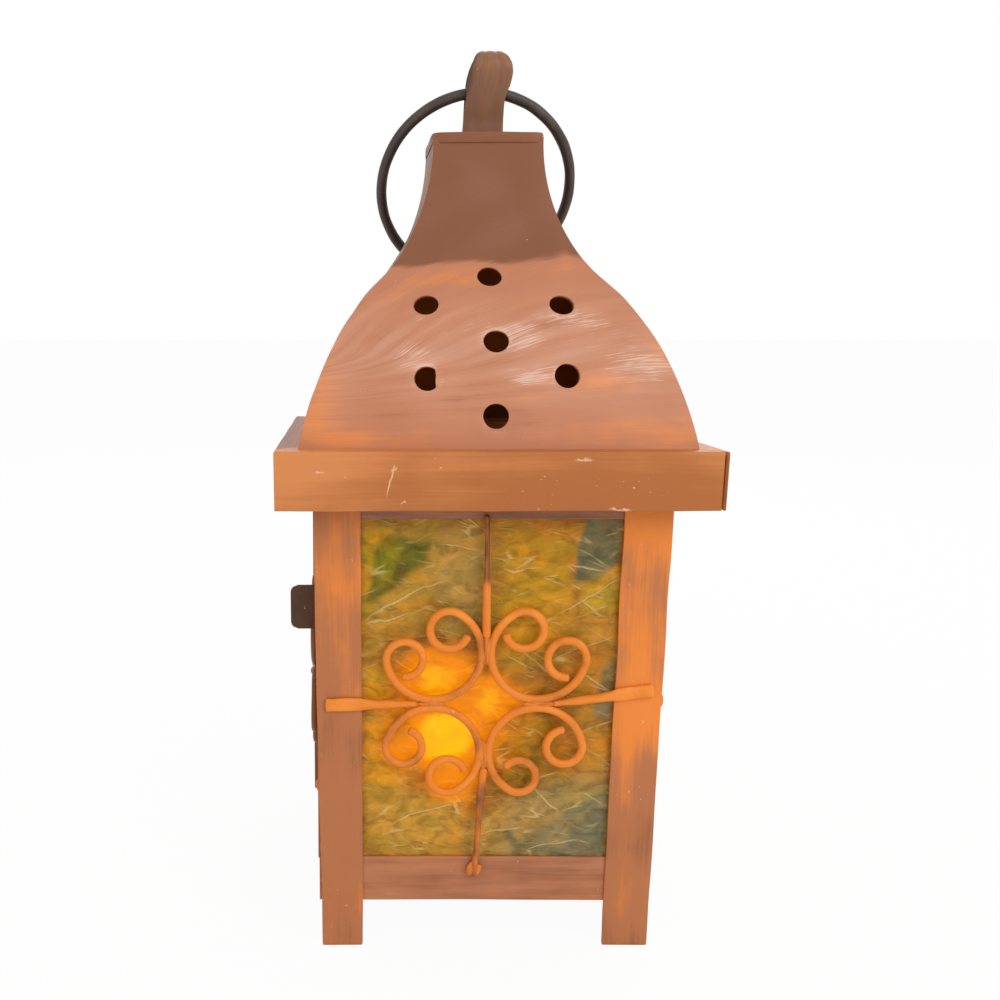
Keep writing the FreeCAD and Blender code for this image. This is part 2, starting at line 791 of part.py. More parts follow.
def save_grilles():
    """The scrolls, stems and arms of all four sides."""
    rail_ends = (rail_top - stem_overlap_bottom, opening_top + stem_overlap_top)
    arms = grille_arms(half, inside, arm_end, paddle_length, rail_ends, (rail_top, opening_top))
    for side in ("front", "right", "back"):
        turn = SIDE_TURNS[side]
        save("grille_arms_" + side, turned(arms, turn))
        for quarter in QUARTERS:
            save("scroll_" + side + "_" + quarter, turned(scroll(quarter, half), turn))
    opening = (door_opening_bottom, door_opening_top)
    door_ends = (opening[0] - door_stem_overlap, opening[1] + door_stem_overlap)
    reach = door_opening_half + door_arm_overlap
    door_arms = grille_arms(door_face, door_face, reach, door_arm_overlap, door_ends, opening)
    save("grille_arms_door", turned(door_arms, SIDE_TURNS["left"]))
    for quarter in QUARTERS:
        save("scroll_door_" + quarter, turned(scroll(quarter, door_face), SIDE_TURNS["left"]))


def save_door():
    """The door frame, its glass, hinges and finger tab, turned to the left side."""
    inner = (-door_opening_half, door_opening_half)
    heights = (door_bottom, door_top)
    pieces = {
        "door_stile_hinge": door_member((-door_half, inner[0]), heights),
        "door_stile_latch": door_member((inner[1], door_half), heights),
        "door_rail_top": door_member(inner, (door_opening_top, door_top)),
        "door_rail_bottom": door_member(inner, (door_bottom, door_opening_bottom)),
        "door_glass": door_glass(),
        "door_glass_clips": door_clips(),
        "door_finger_tab": finger_tab(),
        "door_hinge_leaves": hinge_leaves(of_door=True),
        "post_hinge_leaves": hinge_leaves(of_door=False),
        "hinge_pins": hinge_pins(),
    }
    for name, shape in pieces.items():
        save(name, turned(shape, SIDE_TURNS["left"]))


os.makedirs("parts", exist_ok=True)
save_body()
save_grilles()
save_door()
print("ring leans back", round(math.degrees(ring_rest_lean()), 2), "degrees on the roof")
print("ring pivot height", round(ring_pivot_height, 3))
print("hinge line at", round(hinge_y, 3), round(-hinge_x, 3))
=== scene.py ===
"""Builds the painted tin lantern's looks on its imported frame.

Shapes are worked out in millimetres and turned into metres when a mesh is made. The front faces -Y.
Each side is worked out at the front and turned about Z to where it belongs.
"""

import json
import math

import bpy
import numpy as np
from bpy.props import FloatProperty, FloatVectorProperty, PointerProperty
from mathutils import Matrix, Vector

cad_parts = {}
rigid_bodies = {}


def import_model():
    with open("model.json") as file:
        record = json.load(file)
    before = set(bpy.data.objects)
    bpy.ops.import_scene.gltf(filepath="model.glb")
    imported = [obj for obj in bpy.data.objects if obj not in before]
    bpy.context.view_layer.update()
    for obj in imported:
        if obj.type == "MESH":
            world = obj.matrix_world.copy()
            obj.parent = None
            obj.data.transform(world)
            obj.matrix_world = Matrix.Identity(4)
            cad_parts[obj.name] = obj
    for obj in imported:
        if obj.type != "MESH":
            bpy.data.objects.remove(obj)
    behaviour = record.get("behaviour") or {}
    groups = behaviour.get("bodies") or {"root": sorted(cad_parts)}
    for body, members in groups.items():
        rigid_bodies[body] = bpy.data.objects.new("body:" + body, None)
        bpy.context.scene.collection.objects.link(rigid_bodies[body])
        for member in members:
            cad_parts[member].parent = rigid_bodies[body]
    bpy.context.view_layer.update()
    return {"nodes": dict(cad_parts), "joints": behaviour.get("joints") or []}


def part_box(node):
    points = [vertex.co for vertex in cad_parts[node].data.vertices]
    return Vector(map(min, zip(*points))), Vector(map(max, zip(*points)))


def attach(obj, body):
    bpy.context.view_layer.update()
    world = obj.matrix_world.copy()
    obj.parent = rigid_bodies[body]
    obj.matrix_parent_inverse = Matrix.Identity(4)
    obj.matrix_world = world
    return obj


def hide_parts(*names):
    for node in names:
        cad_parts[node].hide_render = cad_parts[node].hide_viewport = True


bl_info = {
    "name": "Punched Tin Lantern",
    "version": (1, 0, 0),
    "blender": (4, 2, 0),
    "location": "3D View > Sidebar > Lantern",
    "description": "Surfaces and finishes of a painted tin lantern with glass sides and wire grilles",
    "category": "Add Mesh",
}

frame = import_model()

MM = 0.001
SIDES = {"front": 0, "right": 90, "back": 180, "left": 270}
QUARTERS = {"upper_right": (1, 1), "upper_left": (-1, 1), "lower_left": (-1, -1), "lower_right": (1, -1)}


def box_mm(node):
    """The lowest and highest corner of a CAD node in millimetres."""
    low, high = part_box(node)
    return np.array(low) / MM, np.array(high) / MM


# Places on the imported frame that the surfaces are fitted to. HALF is half the body's width.
POST_LOW, POST_HIGH = box_mm("post_front_left")
EAVE_LOW, EAVE_HIGH = box_mm("eave_band")
ROOF_LOW, ROOF_HIGH = box_mm("roof_panel_front")
CAP_HIGH = box_mm("roof_cap")[1]
STRAP_LOW, STRAP_HIGH = box_mm("hanger_strap")
RING_LOW, RING_HIGH = box_mm("hanging_ring")
CANDLE_LOW, CANDLE_HIGH = box_mm("candle")
RAIL_LOW, RAIL_HIGH = box_mm("bottom_rail_front")
HEAD_LOW, HEAD_HIGH = box_mm("top_rail_front")
HALF = -POST_LOW[1]
CANDLE_X = (CANDLE_LOW[0] + CANDLE_HIGH[0]) / 2
FLAME_RISE = 9.0
FLAME_Z = box_mm("wick")[1][2] + FLAME_RISE
RING_PIVOT = next(j for j in frame["joints"] if j["name"] == "ring_swing")["pos_m"][2] / MM


class LanternSizes(bpy.types.PropertyGroup):
    """Sizes that a user would change."""

    sheet: FloatProperty(name="Sheet", description="Thickness of the tin", default=0.0008, unit="LENGTH")
    grille_wire: FloatProperty(
        name="Grille wire", description="Diameter of the grille's wire", default=0.003, unit="LENGTH"
    )
    ring_wire: FloatProperty(
        name="Ring wire", description="Diameter of the ring's wire", default=0.004, unit="LENGTH"
    )
    hole: FloatProperty(
        name="Hole", description="Diameter of the punched holes", default=0.0083, unit="LENGTH"
    )
    unevenness: FloatProperty(
        name="Unevenness", description="How far the sheet strays by hand", default=0.00022, unit="LENGTH"
    )
    flame: FloatProperty(name="Flame", description="Height of the flame", default=0.020, unit="LENGTH")


class LanternColours(bpy.types.PropertyGroup):
    """Colours that a user would change, as the eye sees them."""

    copper: FloatVectorProperty(
        name="Copper", description="Pinkish paint of the roof", subtype="COLOR", default=(0.52, 0.20, 0.10)
    )
    orange: FloatVectorProperty(
        name="Orange", description="Fresh paint of the posts", subtype="COLOR", default=(0.83, 0.24, 0.034)
    )
    ochre: FloatVectorProperty(
        name="Ochre", description="Paint of the eave band", subtype="COLOR", default=(0.43, 0.135, 0.032)
    )
    umber: FloatVectorProperty(
        name="Umber", description="Thin paint on the neck", subtype="COLOR", default=(0.235, 0.083, 0.036)
    )
    pale: FloatVectorProperty(
        name="Dry strokes", description="Pinkish dry strokes", subtype="COLOR", default=(0.80, 0.54, 0.44)
    )
    strap: FloatVectorProperty(
        name="Strap", description="Brown of the strap", subtype="COLOR", default=(0.215, 0.100, 0.052)
    )
    ring: FloatVectorProperty(
        name="Ring", description="Blackened wire", subtype="COLOR", default=(0.045, 0.038, 0.034)
    )
    amber: FloatVectorProperty(
        name="Amber", description="Main tone of the glass", subtype="COLOR", default=(0.46, 0.19, 0.018)
    )
    flame: FloatVectorProperty(
        name="Flame", description="Light of the candle", subtype="COLOR", default=(1.0, 0.50, 0.10)
    )


def size_mm(name):
    """One of the user's sizes in millimetres."""
    return getattr(bpy.context.scene.lantern_sizes, name) / MM


# Surfaces


def waves(u, v, seed, size, count=7):
    """Gentle unevenness, mostly within one either way.

    It is the mean of sines of mixed directions, whose wave lengths lie round the given size, made larger.
    """
    rng = np.random.default_rng(seed)
    total = np.zeros(np.broadcast(u, v).shape)
    for _ in range(count):
        angle, phase = rng.uniform(0, 2 * np.pi, 2)
        pitch = 2 * np.pi / (size * rng.uniform(0.6, 1.7))
        total += np.sin(pitch * (u * np.cos(angle) + v * np.sin(angle)) + phase)
    gain = 1.6
    return total / count * gain


def turned(points, degrees):
    """Points turned about the lantern's axis."""
    a = math.radians(degrees)
    turn = np.array([[math.cos(a), -math.sin(a), 0], [math.sin(a), math.cos(a), 0], [0, 0, 1]])
    return points @ turn.T


def unit(vectors):
    """The rows of an array, each made one long."""
    return vectors / np.linalg.norm(vectors, axis=1)[:, None]


def round_angles(count):
    """Evenly spaced angles of a full turn."""
    return np.linspace(0, 2 * np.pi, count, endpoint=False)


def smooth(value):
    """The smooth step 3 v^2 - 2 v^3 of a value held between 0 and 1."""
    value = np.clip(value, 0, 1)
    return value * value * (3 - 2 * value)


def grid_quads(rows, columns, closed_rows=False, closed_columns=False):
    """Quads of a grid of points that are counted row by row."""
    i = np.arange(rows if closed_rows else rows - 1)[:, None]
    j = np.arange(columns if closed_columns else columns - 1)[None, :]
    i2, j2 = (i + 1) % rows, (j + 1) % columns
    corners = [i * columns + j, i * columns + j2, i2 * columns + j2, i2 * columns + j]
    return np.stack(corners, axis=-1).reshape(-1, 4)


def rounded_outline(corners, radius, steps=4):
    """A closed outline with each corner replaced by a parabola that touches both of its sides.

    The parabola runs between the points at the radius from the corner, or at 45% of a shorter side.
    """
    corners = np.asarray(corners, float)
    ends = []
    for neighbour in (1, -1):
        side = np.roll(corners, neighbour, axis=0) - corners
        cut = np.minimum(radius, 0.45 * np.linalg.norm(side, axis=1))[:, None]
        ends.append(corners + unit(side) * cut)
    t = np.linspace(0, 1, steps)[None, :, None]
    curve = (1 - t) ** 2 * ends[0][:, None] + 2 * t * (1 - t) * corners[:, None] + t ** 2 * ends[1][:, None]
    return curve.reshape(-1, 2)


def loft(rings, closed_path=False):
    """Faces and face corner UVs of closed rings carried along a path, with the ends capped on an open path.

    U is the mean distance along the path and V the distance round the first ring, both in millimetres.
    """
    count, around = rings.shape[:2]
    faces = grid_quads(count, around, closed_path, True).tolist()
    i = np.arange(count if closed_path else count - 1)[:, None]
    j = np.arange(around)[None, :]
    steps = np.linalg.norm(np.roll(rings, -1, axis=0) - rings, axis=2).mean(axis=1)
    sides = np.linalg.norm(np.roll(rings[0], -1, axis=0) - rings[0], axis=1)
    u, v = (np.concatenate([[0], np.cumsum(lengths)]) for lengths in (steps, sides))
    turns = ((0, 0), (0, 1), (1, 1), (1, 0))
    corners = [np.stack(np.broadcast_arrays(u[i + a], v[j + b]), axis=-1) for a, b in turns]
    uv = np.stack(corners, axis=2).reshape(-1, 2)
    if not closed_path:
        first = np.arange(around)
        last = first + (count - 1) * around
        faces += [first[::-1].tolist(), last.tolist()]
        head, tail = (np.stack([np.full(around, at), v[:-1]], axis=-1) for at in (0, u[-2]))
        uv = np.concatenate([uv, head[::-1], tail])
    return rings.reshape(-1, 3), faces, uv


def swept_sheet(corners, stations, axis, seed, wander, rounding=0.25):
    """Rings of a bent sheet: an outline carried straight along an axis, with slow waves across it.

    The outline's corners are (first, second) of the two axes left over, in X, Y, Z order.
    """
    outline = rounded_outline(corners, rounding)
    rings = np.zeros((len(stations), len(outline), 3))
    rings[..., axis] = stations[:, None]
    for n, k in enumerate(k for k in range(3) if k != axis):
        rings[..., k] = outline[None, :, n]
        rings[..., k] += wander * waves(stations[:, None], outline[None, :, 1 - n] * 2, seed + n, 38)
    return rings


def wire_rings(path, normal, wide, high, around=16):
    """Rings of a wire on a flat path: ellipses square to it, wide in the path's plane and high across it."""
    across = unit(np.cross(normal, unit(np.gradient(path, axis=0))))
    wide, high = (np.broadcast_to(half, len(path))[:, None, None] for half in (wide, high))
    angle = round_angles(around)[None, :, None]
    return path[:, None] + across[:, None] * wide * np.cos(angle) + np.asarray(normal) * high * np.sin(angle)


def closed_ends(rings):
    """Wire rings with their two ends drawn in along a quarter ellipse."""
    shrink = np.array([0.35, 0.75, 0.95])[:, None, None]
    push = np.array([1.0, 0.6, 0.25])[:, None, None]
    centre = rings.mean(axis=1)
    reach = np.linalg.norm(rings[0] - centre[0], axis=1).mean() * 0.5

    def end(last, inner):
        outward = centre[last] - centre[inner]
        outward /= np.linalg.norm(outward)
        return centre[last] + (rings[last] - centre[last]) * shrink + outward * (reach * push)

    return np.concatenate([end(0, 1), rings, end(-1, -2)[::-1]])


def dab(centre, radii, seed, turns=18, rows=11):
    """Rings of a lump of solder: an ellipsoid whose radius strays by a quarter with low waves."""
    theta = np.linspace(0.12, np.pi - 0.12, rows)[:, None]
    phi = round_angles(turns)[None, :]
    stray = 1 + 0.25 * waves(np.cos(phi) * 3 + theta * 2, np.sin(phi) * 3, seed, 6)
    x = np.sin(theta) * np.cos(phi) * stray
    z = np.sin(theta) * np.sin(phi) * stray
    y = np.cos(theta) * stray
    return np.stack([x * radii[0], y * radii[1], z * radii[2]], axis=-1) + np.asarray(centre, float)


def gathered(parts):
    """Several lofts as one set of points, faces and UVs."""
    points, faces, uvs = [], [], []
    offset = 0
    for p, f, uv in parts:
        points.append(p)
        faces += [[k + offset for k in face] for face in f]
        uvs.append(uv)
        offset += len(p)
    return np.concatenate(points), faces, np.concatenate(uvs)


def thick_sheet(outer, inner, quads, uv):
    """A sheet's two faces joined round every rim: edges that only one quad uses get a wall."""
    count = len(outer)
    edges = np.concatenate([quads[:, [k, (k + 1) % 4]] for k in range(4)])
    keys = edges[:, 0] * count + edges[:, 1]
    back = edges[:, 1] * count + edges[:, 0]
    rim = edges[~np.isin(keys, back)]
    walls = np.stack([rim[:, 1], rim[:, 0], rim[:, 0] + count, rim[:, 1] + count], axis=-1)
    faces = np.concatenate([quads, quads[:, ::-1] + count, walls])
    points = np.concatenate([outer, inner])
    return points, faces.tolist(), np.concatenate([uv, uv])[faces.ravel()]


def merged(points, quads):
    """Grid patches with the points that they share made one, found by rounding to a hundredth."""
    rounded = np.round(points * 100).astype(np.int64)
    _, first, index = np.unique(rounded, axis=0, return_index=True, return_inverse=True)
    return points[first], index.reshape(-1)[quads]


def add_piece(
    name, shape, finish, replaced=(), body="lantern", warmth=0.5, sheen_and_dry_strokes=0.0, patch=0.0, smooth_angle=35
):
    """Makes one piece of the lantern: its mesh in metres, UVs, finish, body and the CAD nodes it stands for.

    Warmth leads from umber to orange, and the sheen share lays dry strokes and, on the roof, painted
    highlights. Patch moves the pattern on.
    """
    points, faces, uv = shape
    mesh = bpy.data.meshes.new(name)
    mesh.from_pydata((points * MM).tolist(), [], faces)
    layer = mesh.uv_layers.new(name="UVMap")
    layer.data.foreach_set("uv", np.asarray(uv, np.float32).ravel())
    for key, values in (("warmth", warmth), ("sheen_and_dry_strokes", sheen_and_dry_strokes), ("patch", patch)):
        layer = mesh.attributes.new(key, "FLOAT", "POINT")
        layer.data.foreach_set("value", np.array(np.broadcast_to(values, len(points)), np.float32))
    mesh.materials.append(finishes()[finish])
    mesh.validate(clean_customdata=False)
    mesh.update()
    piece = bpy.data.objects.new(name, mesh)
    bpy.context.scene.collection.objects.link(piece)
    mesh.shade_smooth()
    mesh.set_sharp_from_angle(angle=math.radians(smooth_angle))
    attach(piece, body)
    if replaced:
        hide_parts(*replaced)
    return piece


# Finishes


def fill(tree, socket, value):
    """Joins another node's socket to an input, or writes a constant there."""
    if isinstance(value, bpy.types.NodeSocket):
        tree.links.new(value, socket)
    else:
        socket.default_value = value


def put(tree, kind, inputs, **settings):
    """A node with its settings, whose inputs are sockets to join or constants."""
    node = tree.nodes.new(kind)
    for key, value in settings.items():
        setattr(node, key, value)
    for key, value in inputs.items():
        fill(tree, node.inputs[key], value)
    return node


def seen_rays(tree):
    """One for a ray of the camera, and for one that is mirrored or passes through glass."""
    rays = put(tree, "ShaderNodeLightPath", {}).outputs
    seen = rays["Is Camera Ray"]
    for name in ("Is Glossy Ray", "Is Transmission Ray"):
        seen = put(tree, "ShaderNodeMath", {0: seen, 1: rays[name]}, operation="MAXIMUM").outputs[0]
    return seen


class Finish:
    """A procedural material whose nodes are added one after another."""

    def __init__(self, name):
        self.material = bpy.data.materials.new(name)
        self.material.use_nodes = True
        self.tree = self.material.node_tree
        self.shader = self.tree.nodes["Principled BSDF"]

    def put(self, kind, inputs, **settings):
        """A node of this material."""
        return put(self.tree, kind, inputs, **settings)

    def value_of(self, attribute):
        """A number that the piece carries at each point."""
        return self.put("ShaderNodeAttribute", {}, attribute_name=attribute).outputs["Fac"]

    def coordinates(self, kind):
        """The piece's UV or Object coordinates."""
        return self.put("ShaderNodeTexCoord", {}).outputs[kind]

    def parts(self, place):
        """The three numbers of a place."""
        return self.put("ShaderNodeSeparateXYZ", {0: place}).outputs

    def joined(self, x, y, z):
        """A place from three numbers."""
        return self.put("ShaderNodeCombineXYZ", {0: x, 1: y, 2: z}).outputs[0]

    def maths(self, operation, a, b=0.0, c=0.0):
        """One step of arithmetic on numbers."""
        return self.put("ShaderNodeMath", {0: a, 1: b, 2: c}, operation=operation).outputs[0]

    def times(self, a, b):
        """Two numbers multiplied."""
        return self.maths("MULTIPLY", a, b)

    def times_add(self, a, b, c):
        """Two numbers multiplied, and a third one added."""
        return self.maths("MULTIPLY_ADD", a, b, c)

    def minus(self, a, b):
        """A number less another one."""
        return self.maths("SUBTRACT", a, b)

    def larger(self, a, b):
        """The larger one of two numbers."""
        return self.maths("MAXIMUM", a, b)

    def vector(self, operation, a, b):
        """One step of arithmetic on places."""
        return self.put("ShaderNodeVectorMath", {0: a, 1: b}, operation=operation).outputs[0]

    def scaled(self, place, size, shift=(0, 0, 0)):
        """A place divided by the size of the pattern, and moved on."""
        return self.vector("ADD", self.vector("DIVIDE", place, size), shift)

    def noise(self, place, size, shift=(0, 0, 0), detail=3.0, rough=0.5, distortion=0.0):
        """Soft noise from 0 to 1, in spots whose size has the place's own unit."""
        inputs = {"Vector": self.scaled(place, size, shift), "Scale": 1.0}
        inputs |= {"Detail": detail, "Roughness": rough, "Distortion": distortion}
        return self.put("ShaderNodeTexNoise", inputs).outputs["Fac"]

    def web(self, place, size, stray, shift=(0, 0, 0)):
        """How far a place is from a web of threads that stray with a noise, in shares of the pattern."""
        spot = self.scaled(place, size, shift)
        drift = self.put("ShaderNodeTexNoise", {"Vector": spot, "Scale": 1.3, "Detail": 2.0}).outputs["Color"]
        drift = self.vector("MULTIPLY", drift, (stray, stray, 0))
        spot = self.vector("ADD", spot, drift)
        settings = {"feature": "DISTANCE_TO_EDGE", "voronoi_dimensions": "2D"}
        cells = self.put("ShaderNodeTexVoronoi", {"Vector": spot, "Scale": 1.0}, **settings)
        return cells.outputs["Distance"]

    def strand(self, x, z, line, wide):
        """How much a place lies on a short parabola: x and z of its middle, slope, bend and half length."""
        middle, height, slope, bend, half = line
        along = self.minus(x, middle)
        path = self.times_add(along, self.times_add(along, bend, slope), height)
        slant = wide * math.hypot(1, slope)
        near = self.band(self.maths("ABSOLUTE", self.minus(z, path)), slant, slant * 0.27)
        return self.times(near, self.band(self.maths("ABSOLUTE", along), half, half * 0.4))

    def band(self, value, low, high, to_low=0.0, to_high=1.0):
        """A smooth step of a value between two limits."""
        inputs = {"Value": value, "From Min": low, "From Max": high, "To Min": to_low, "To Max": to_high}
        return self.put("ShaderNodeMapRange", inputs, interpolation_type="SMOOTHSTEP").outputs[0]

    def mix(self, share, a, b, blend="MIX"):
        """Two colours mixed by a share."""
        colours = [c if isinstance(c, bpy.types.NodeSocket) else (*c[:3], 1.0) for c in (a, b)]
        node = self.put("ShaderNodeMix", {}, data_type="RGBA", blend_type=blend, clamp_factor=True)
        for k, value in zip((0, 6, 7), (share, *colours)):
            fill(self.tree, node.inputs[k], value)
        return node.outputs[2]

    def bump(self, heights):
        """Bumps in turn, each a height from 0 to 1 with its depth in metres."""
        normal = None
        for height, depth in heights:
            inputs = {"Height": height, "Strength": 1.0, "Distance": depth}
            if normal is not None:
                inputs["Normal"] = normal
            normal = self.put("ShaderNodeBump", inputs).outputs[0]
        self.tree.links.new(normal, self.shader.inputs["Normal"])

    def set(self, **values):
        """Joins or writes the shader's own sockets, and gives the material."""
        for key, value in values.items():
            fill(self.tree, self.shader.inputs[key.replace("_", " ")], value)
        return self.material


# Single scratches on the front of the eave's skirt, in the same five numbers as the strands below.
BAND_SCRATCHES = (
    (-34.6, 170.5, 3.6, 0.0, 1.6),
    (-33.6, 173.5, 0.4, 0.0, 1.2),
    (-57.0, 172.6, 0.10, 0.01, 1.8),
    (-30.6, 163.2, 0.5, 0.0, 1.1),
    (26, 176.6, 0.03, 0.0, 3.6),
    (38, 160.9, -0.08, 0.01, 4.2),
)

# Long strands in the rolled glass, as parabolas: x and z of the middle, slope, bend and half length.
STRANDS = (
    (-28.8, 128.8, 0.52, -0.008, 16),
    (-35, 121, 0.25, 0.010, 9),
    (33.5, 129.0, 0.65, 0.004, 13),
    (31.5, 138.6, -0.17, 0.010, 7),
    (-11, 146.5, -0.10, -0.015, 8),
    (10, 138, 0.08, 0.012, 8),
    (-27, 103, -0.60, 0.030, 6),
    (37, 98.5, -0.56, 0.0, 7),
    (-21.5, 51, 0.33, -0.010, 14),
    (1.5, 43, 0.14, 0.006, 15),
    (21, 55, -0.90, 0.020, 6),
    (24, 39, 0.22, -0.010, 11),
)

# How far each pane's map lies from the last one's, and how much higher its strands lie, in mm.
PANE_SHIFT = (200.0, 70.0)
STRAND_LIFT = 14.0


def brushed_paint(
    name,
    tones,
    stroke=(40.0, 0.8),
    arch=0.0,
    sheen_and_dry_strokes=0.0,
    chips=0.5,
    blotch=1.0,
    depth=0.00004,
    shine=0.32,
    scratches=(),
):
    """Paint laid on with a bristle brush, along U of the piece's map.

    Tones are dark, middle, fresh and pale. Arch bends the strokes of the middle of the roof into arcs.
    The sheen share adds dry pale strokes to the piece's own; the piece's own share also lifts the colour
    towards pale as a painted sheen, and chips shares out small flakes.
    Blotch says how far the tone strays, shine how much it mirrors, and scratches are the eave's single ones.
    """
    f = Finish(name)
    dark, middle, fresh, pale = tones
    uv = f.coordinates("UV")
    parts = f.parts(uv)
    patch = f.times(f.value_of("patch"), 7.3)
    place = f.joined(parts[0], parts[1], patch)
    sway = f.noise(place, (110, 60, 1), detail=1.0)
    across = f.times_add(sway, 9.0, parts[1])
    if arch:
        aside = f.minus(parts[0], 55.0)
        bow = f.times(f.times(aside, aside), arch)
        across = f.times_add(bow, f.band(parts[1], 10.0, 32.0), across)
    along = f.joined(parts[0], across, patch)
    fine = f.noise(along, (stroke[0], stroke[1], 1), detail=3.0, rough=0.6)
    broad = f.noise(along, (stroke[0] * 1.6, stroke[1] * 6, 1), (7, 3, 0), detail=3.0, rough=0.55)
    cloud = f.noise(place, (30, 19, 1), (2, 9, 0), detail=3.0, rough=0.55)
    tone = f.times_add(fine, 0.22, f.times(broad, 0.38))
    tone = f.times_add(cloud, 0.50, tone)
    tone = f.times_add(tone, blotch, 0.55 * (1 - blotch))
    tone = f.maths("ADD", tone, f.times(f.minus(f.value_of("warmth"), 0.5), 0.9))
    colour = f.mix(f.band(tone, 0.28, 0.54), dark, middle)
    colour = f.mix(f.band(tone, 0.56, 0.80), colour, fresh)
    bristle = f.noise(along, (stroke[0] * 0.45, stroke[1] * 0.55, 1), (1, 5, 0), detail=2.0, rough=0.7)
    # Dry pale strokes; where the sheen share is high, as on the roof's highlights, they are painted
    # highlight.
    share = f.maths("ADD", f.value_of("sheen_and_dry_strokes"), sheen_and_dry_strokes)
    limit = f.times_add(share, -0.28, 0.74)
    over = f.minus(f.times_add(cloud, 0.35, f.times(bristle, 0.65)), limit)
    dry = f.times(f.band(over, 0.0, 0.09), 0.72)
    # Painted sheen: the colour is lifted halfway to pale where the piece's sheen share is high.
    painted_sheen = f.times(f.value_of("sheen_and_dry_strokes"), f.band(broad, 0.35, 0.7, 0.2, 0.75))
    colour = f.mix(painted_sheen, colour, [0.5 * (m + p) for m, p in zip(middle, pale)])
    colour = f.mix(dry, colour, pale)
    speck = f.noise(place, (2.4, 1.5, 1), (5, 1, 0), detail=2.0, rough=0.6)
    region = f.noise(place, (24, 14, 1), (11, 4, 0), detail=0.0)
    chip = f.times(f.band(speck, 0.745 - 0.06 * chips, 0.765 - 0.06 * chips), f.band(region, 0.5, 0.58))
    if scratches:
        spot = f.parts(f.coordinates("Object"))
        x, z = (f.times(spot[k], 1 / MM) for k in (0, 2))
        z = f.times_add(f.minus(speck, 0.5), 3.0, z)
        front = f.band(spot[1], -0.069, -0.070)
        for line in scratches:
            chip = f.larger(chip, f.times(front, f.strand(x, z, line, 0.42)))
    colour = f.mix(f.times(chip, 0.7), colour, (0.85, 0.55, 0.33))
    f.bump([(fine, depth), (broad, depth * 3), (f.minus(1.0, chip), 0.00008)])
    roughness = f.times_add(fine, 0.30, 0.30)
    return f.set(Base_Color=colour, Roughness=roughness, Specular_IOR_Level=shine)


def sooty_tin(name, colour):
    """The dull inside of the lantern, with clouds of soot on Object coordinates."""
    f = Finish(name)
    place = f.coordinates("Object")
    cloud = f.noise(place, (0.02, 0.02, 0.02), detail=4.0)
    grain = f.noise(place, (0.0012, 0.0012, 0.006), detail=3.0)
    tone = f.mix(f.band(cloud, 0.35, 0.7), [c * 0.55 for c in colour], colour)
    tone = f.mix(f.times(f.band(grain, 0.5, 0.75), 0.35), tone, [min(1, c * 1.8) for c in colour])
    f.bump([(grain, 0.00005)])
    return f.set(Base_Color=tone, Roughness=f.times_add(grain, 0.3, 0.42))


def blackened_wire(name, colour):
    """Hot bent wire: grey black scale with brown clouds and fine pits."""
    f = Finish(name)
    uv = f.coordinates("UV")
    cloud = f.noise(uv, (12, 5, 1), detail=3.0)
    pits = f.noise(uv, (1.3, 0.8, 1), (3, 2, 0), detail=3.0, rough=0.6)
    tone = f.mix(f.band(cloud, 0.38, 0.68), colour, [c * s for c, s in zip(colour, (1.8, 1.45, 1.2))])
    tone = f.mix(f.times(f.band(pits, 0.58, 0.72), 0.5), tone, (0.16, 0.14, 0.125))
    f.bump([(pits, 0.00006), (cloud, 0.0001)])
    return f.set(Base_Color=tone, Metallic=0.35, Roughness=f.times_add(pits, 0.35, 0.3))


def pin_steel(name):
    """Drawn steel wire with fine lines and a little rust."""
    f = Finish(name)
    place = f.coordinates("Object")
    lines = f.noise(place, (0.0004, 0.0004, 0.006), detail=2.0)
    rust = f.noise(place, (0.002, 0.002, 0.002), detail=4.0)
    tone = f.mix(f.band(rust, 0.5, 0.7), (0.32, 0.29, 0.26), (0.24, 0.10, 0.045))
    f.bump([(lines, 0.00003)])
    return f.set(Base_Color=tone, Metallic=0.7, Roughness=f.times_add(rust, 0.3, 0.28))


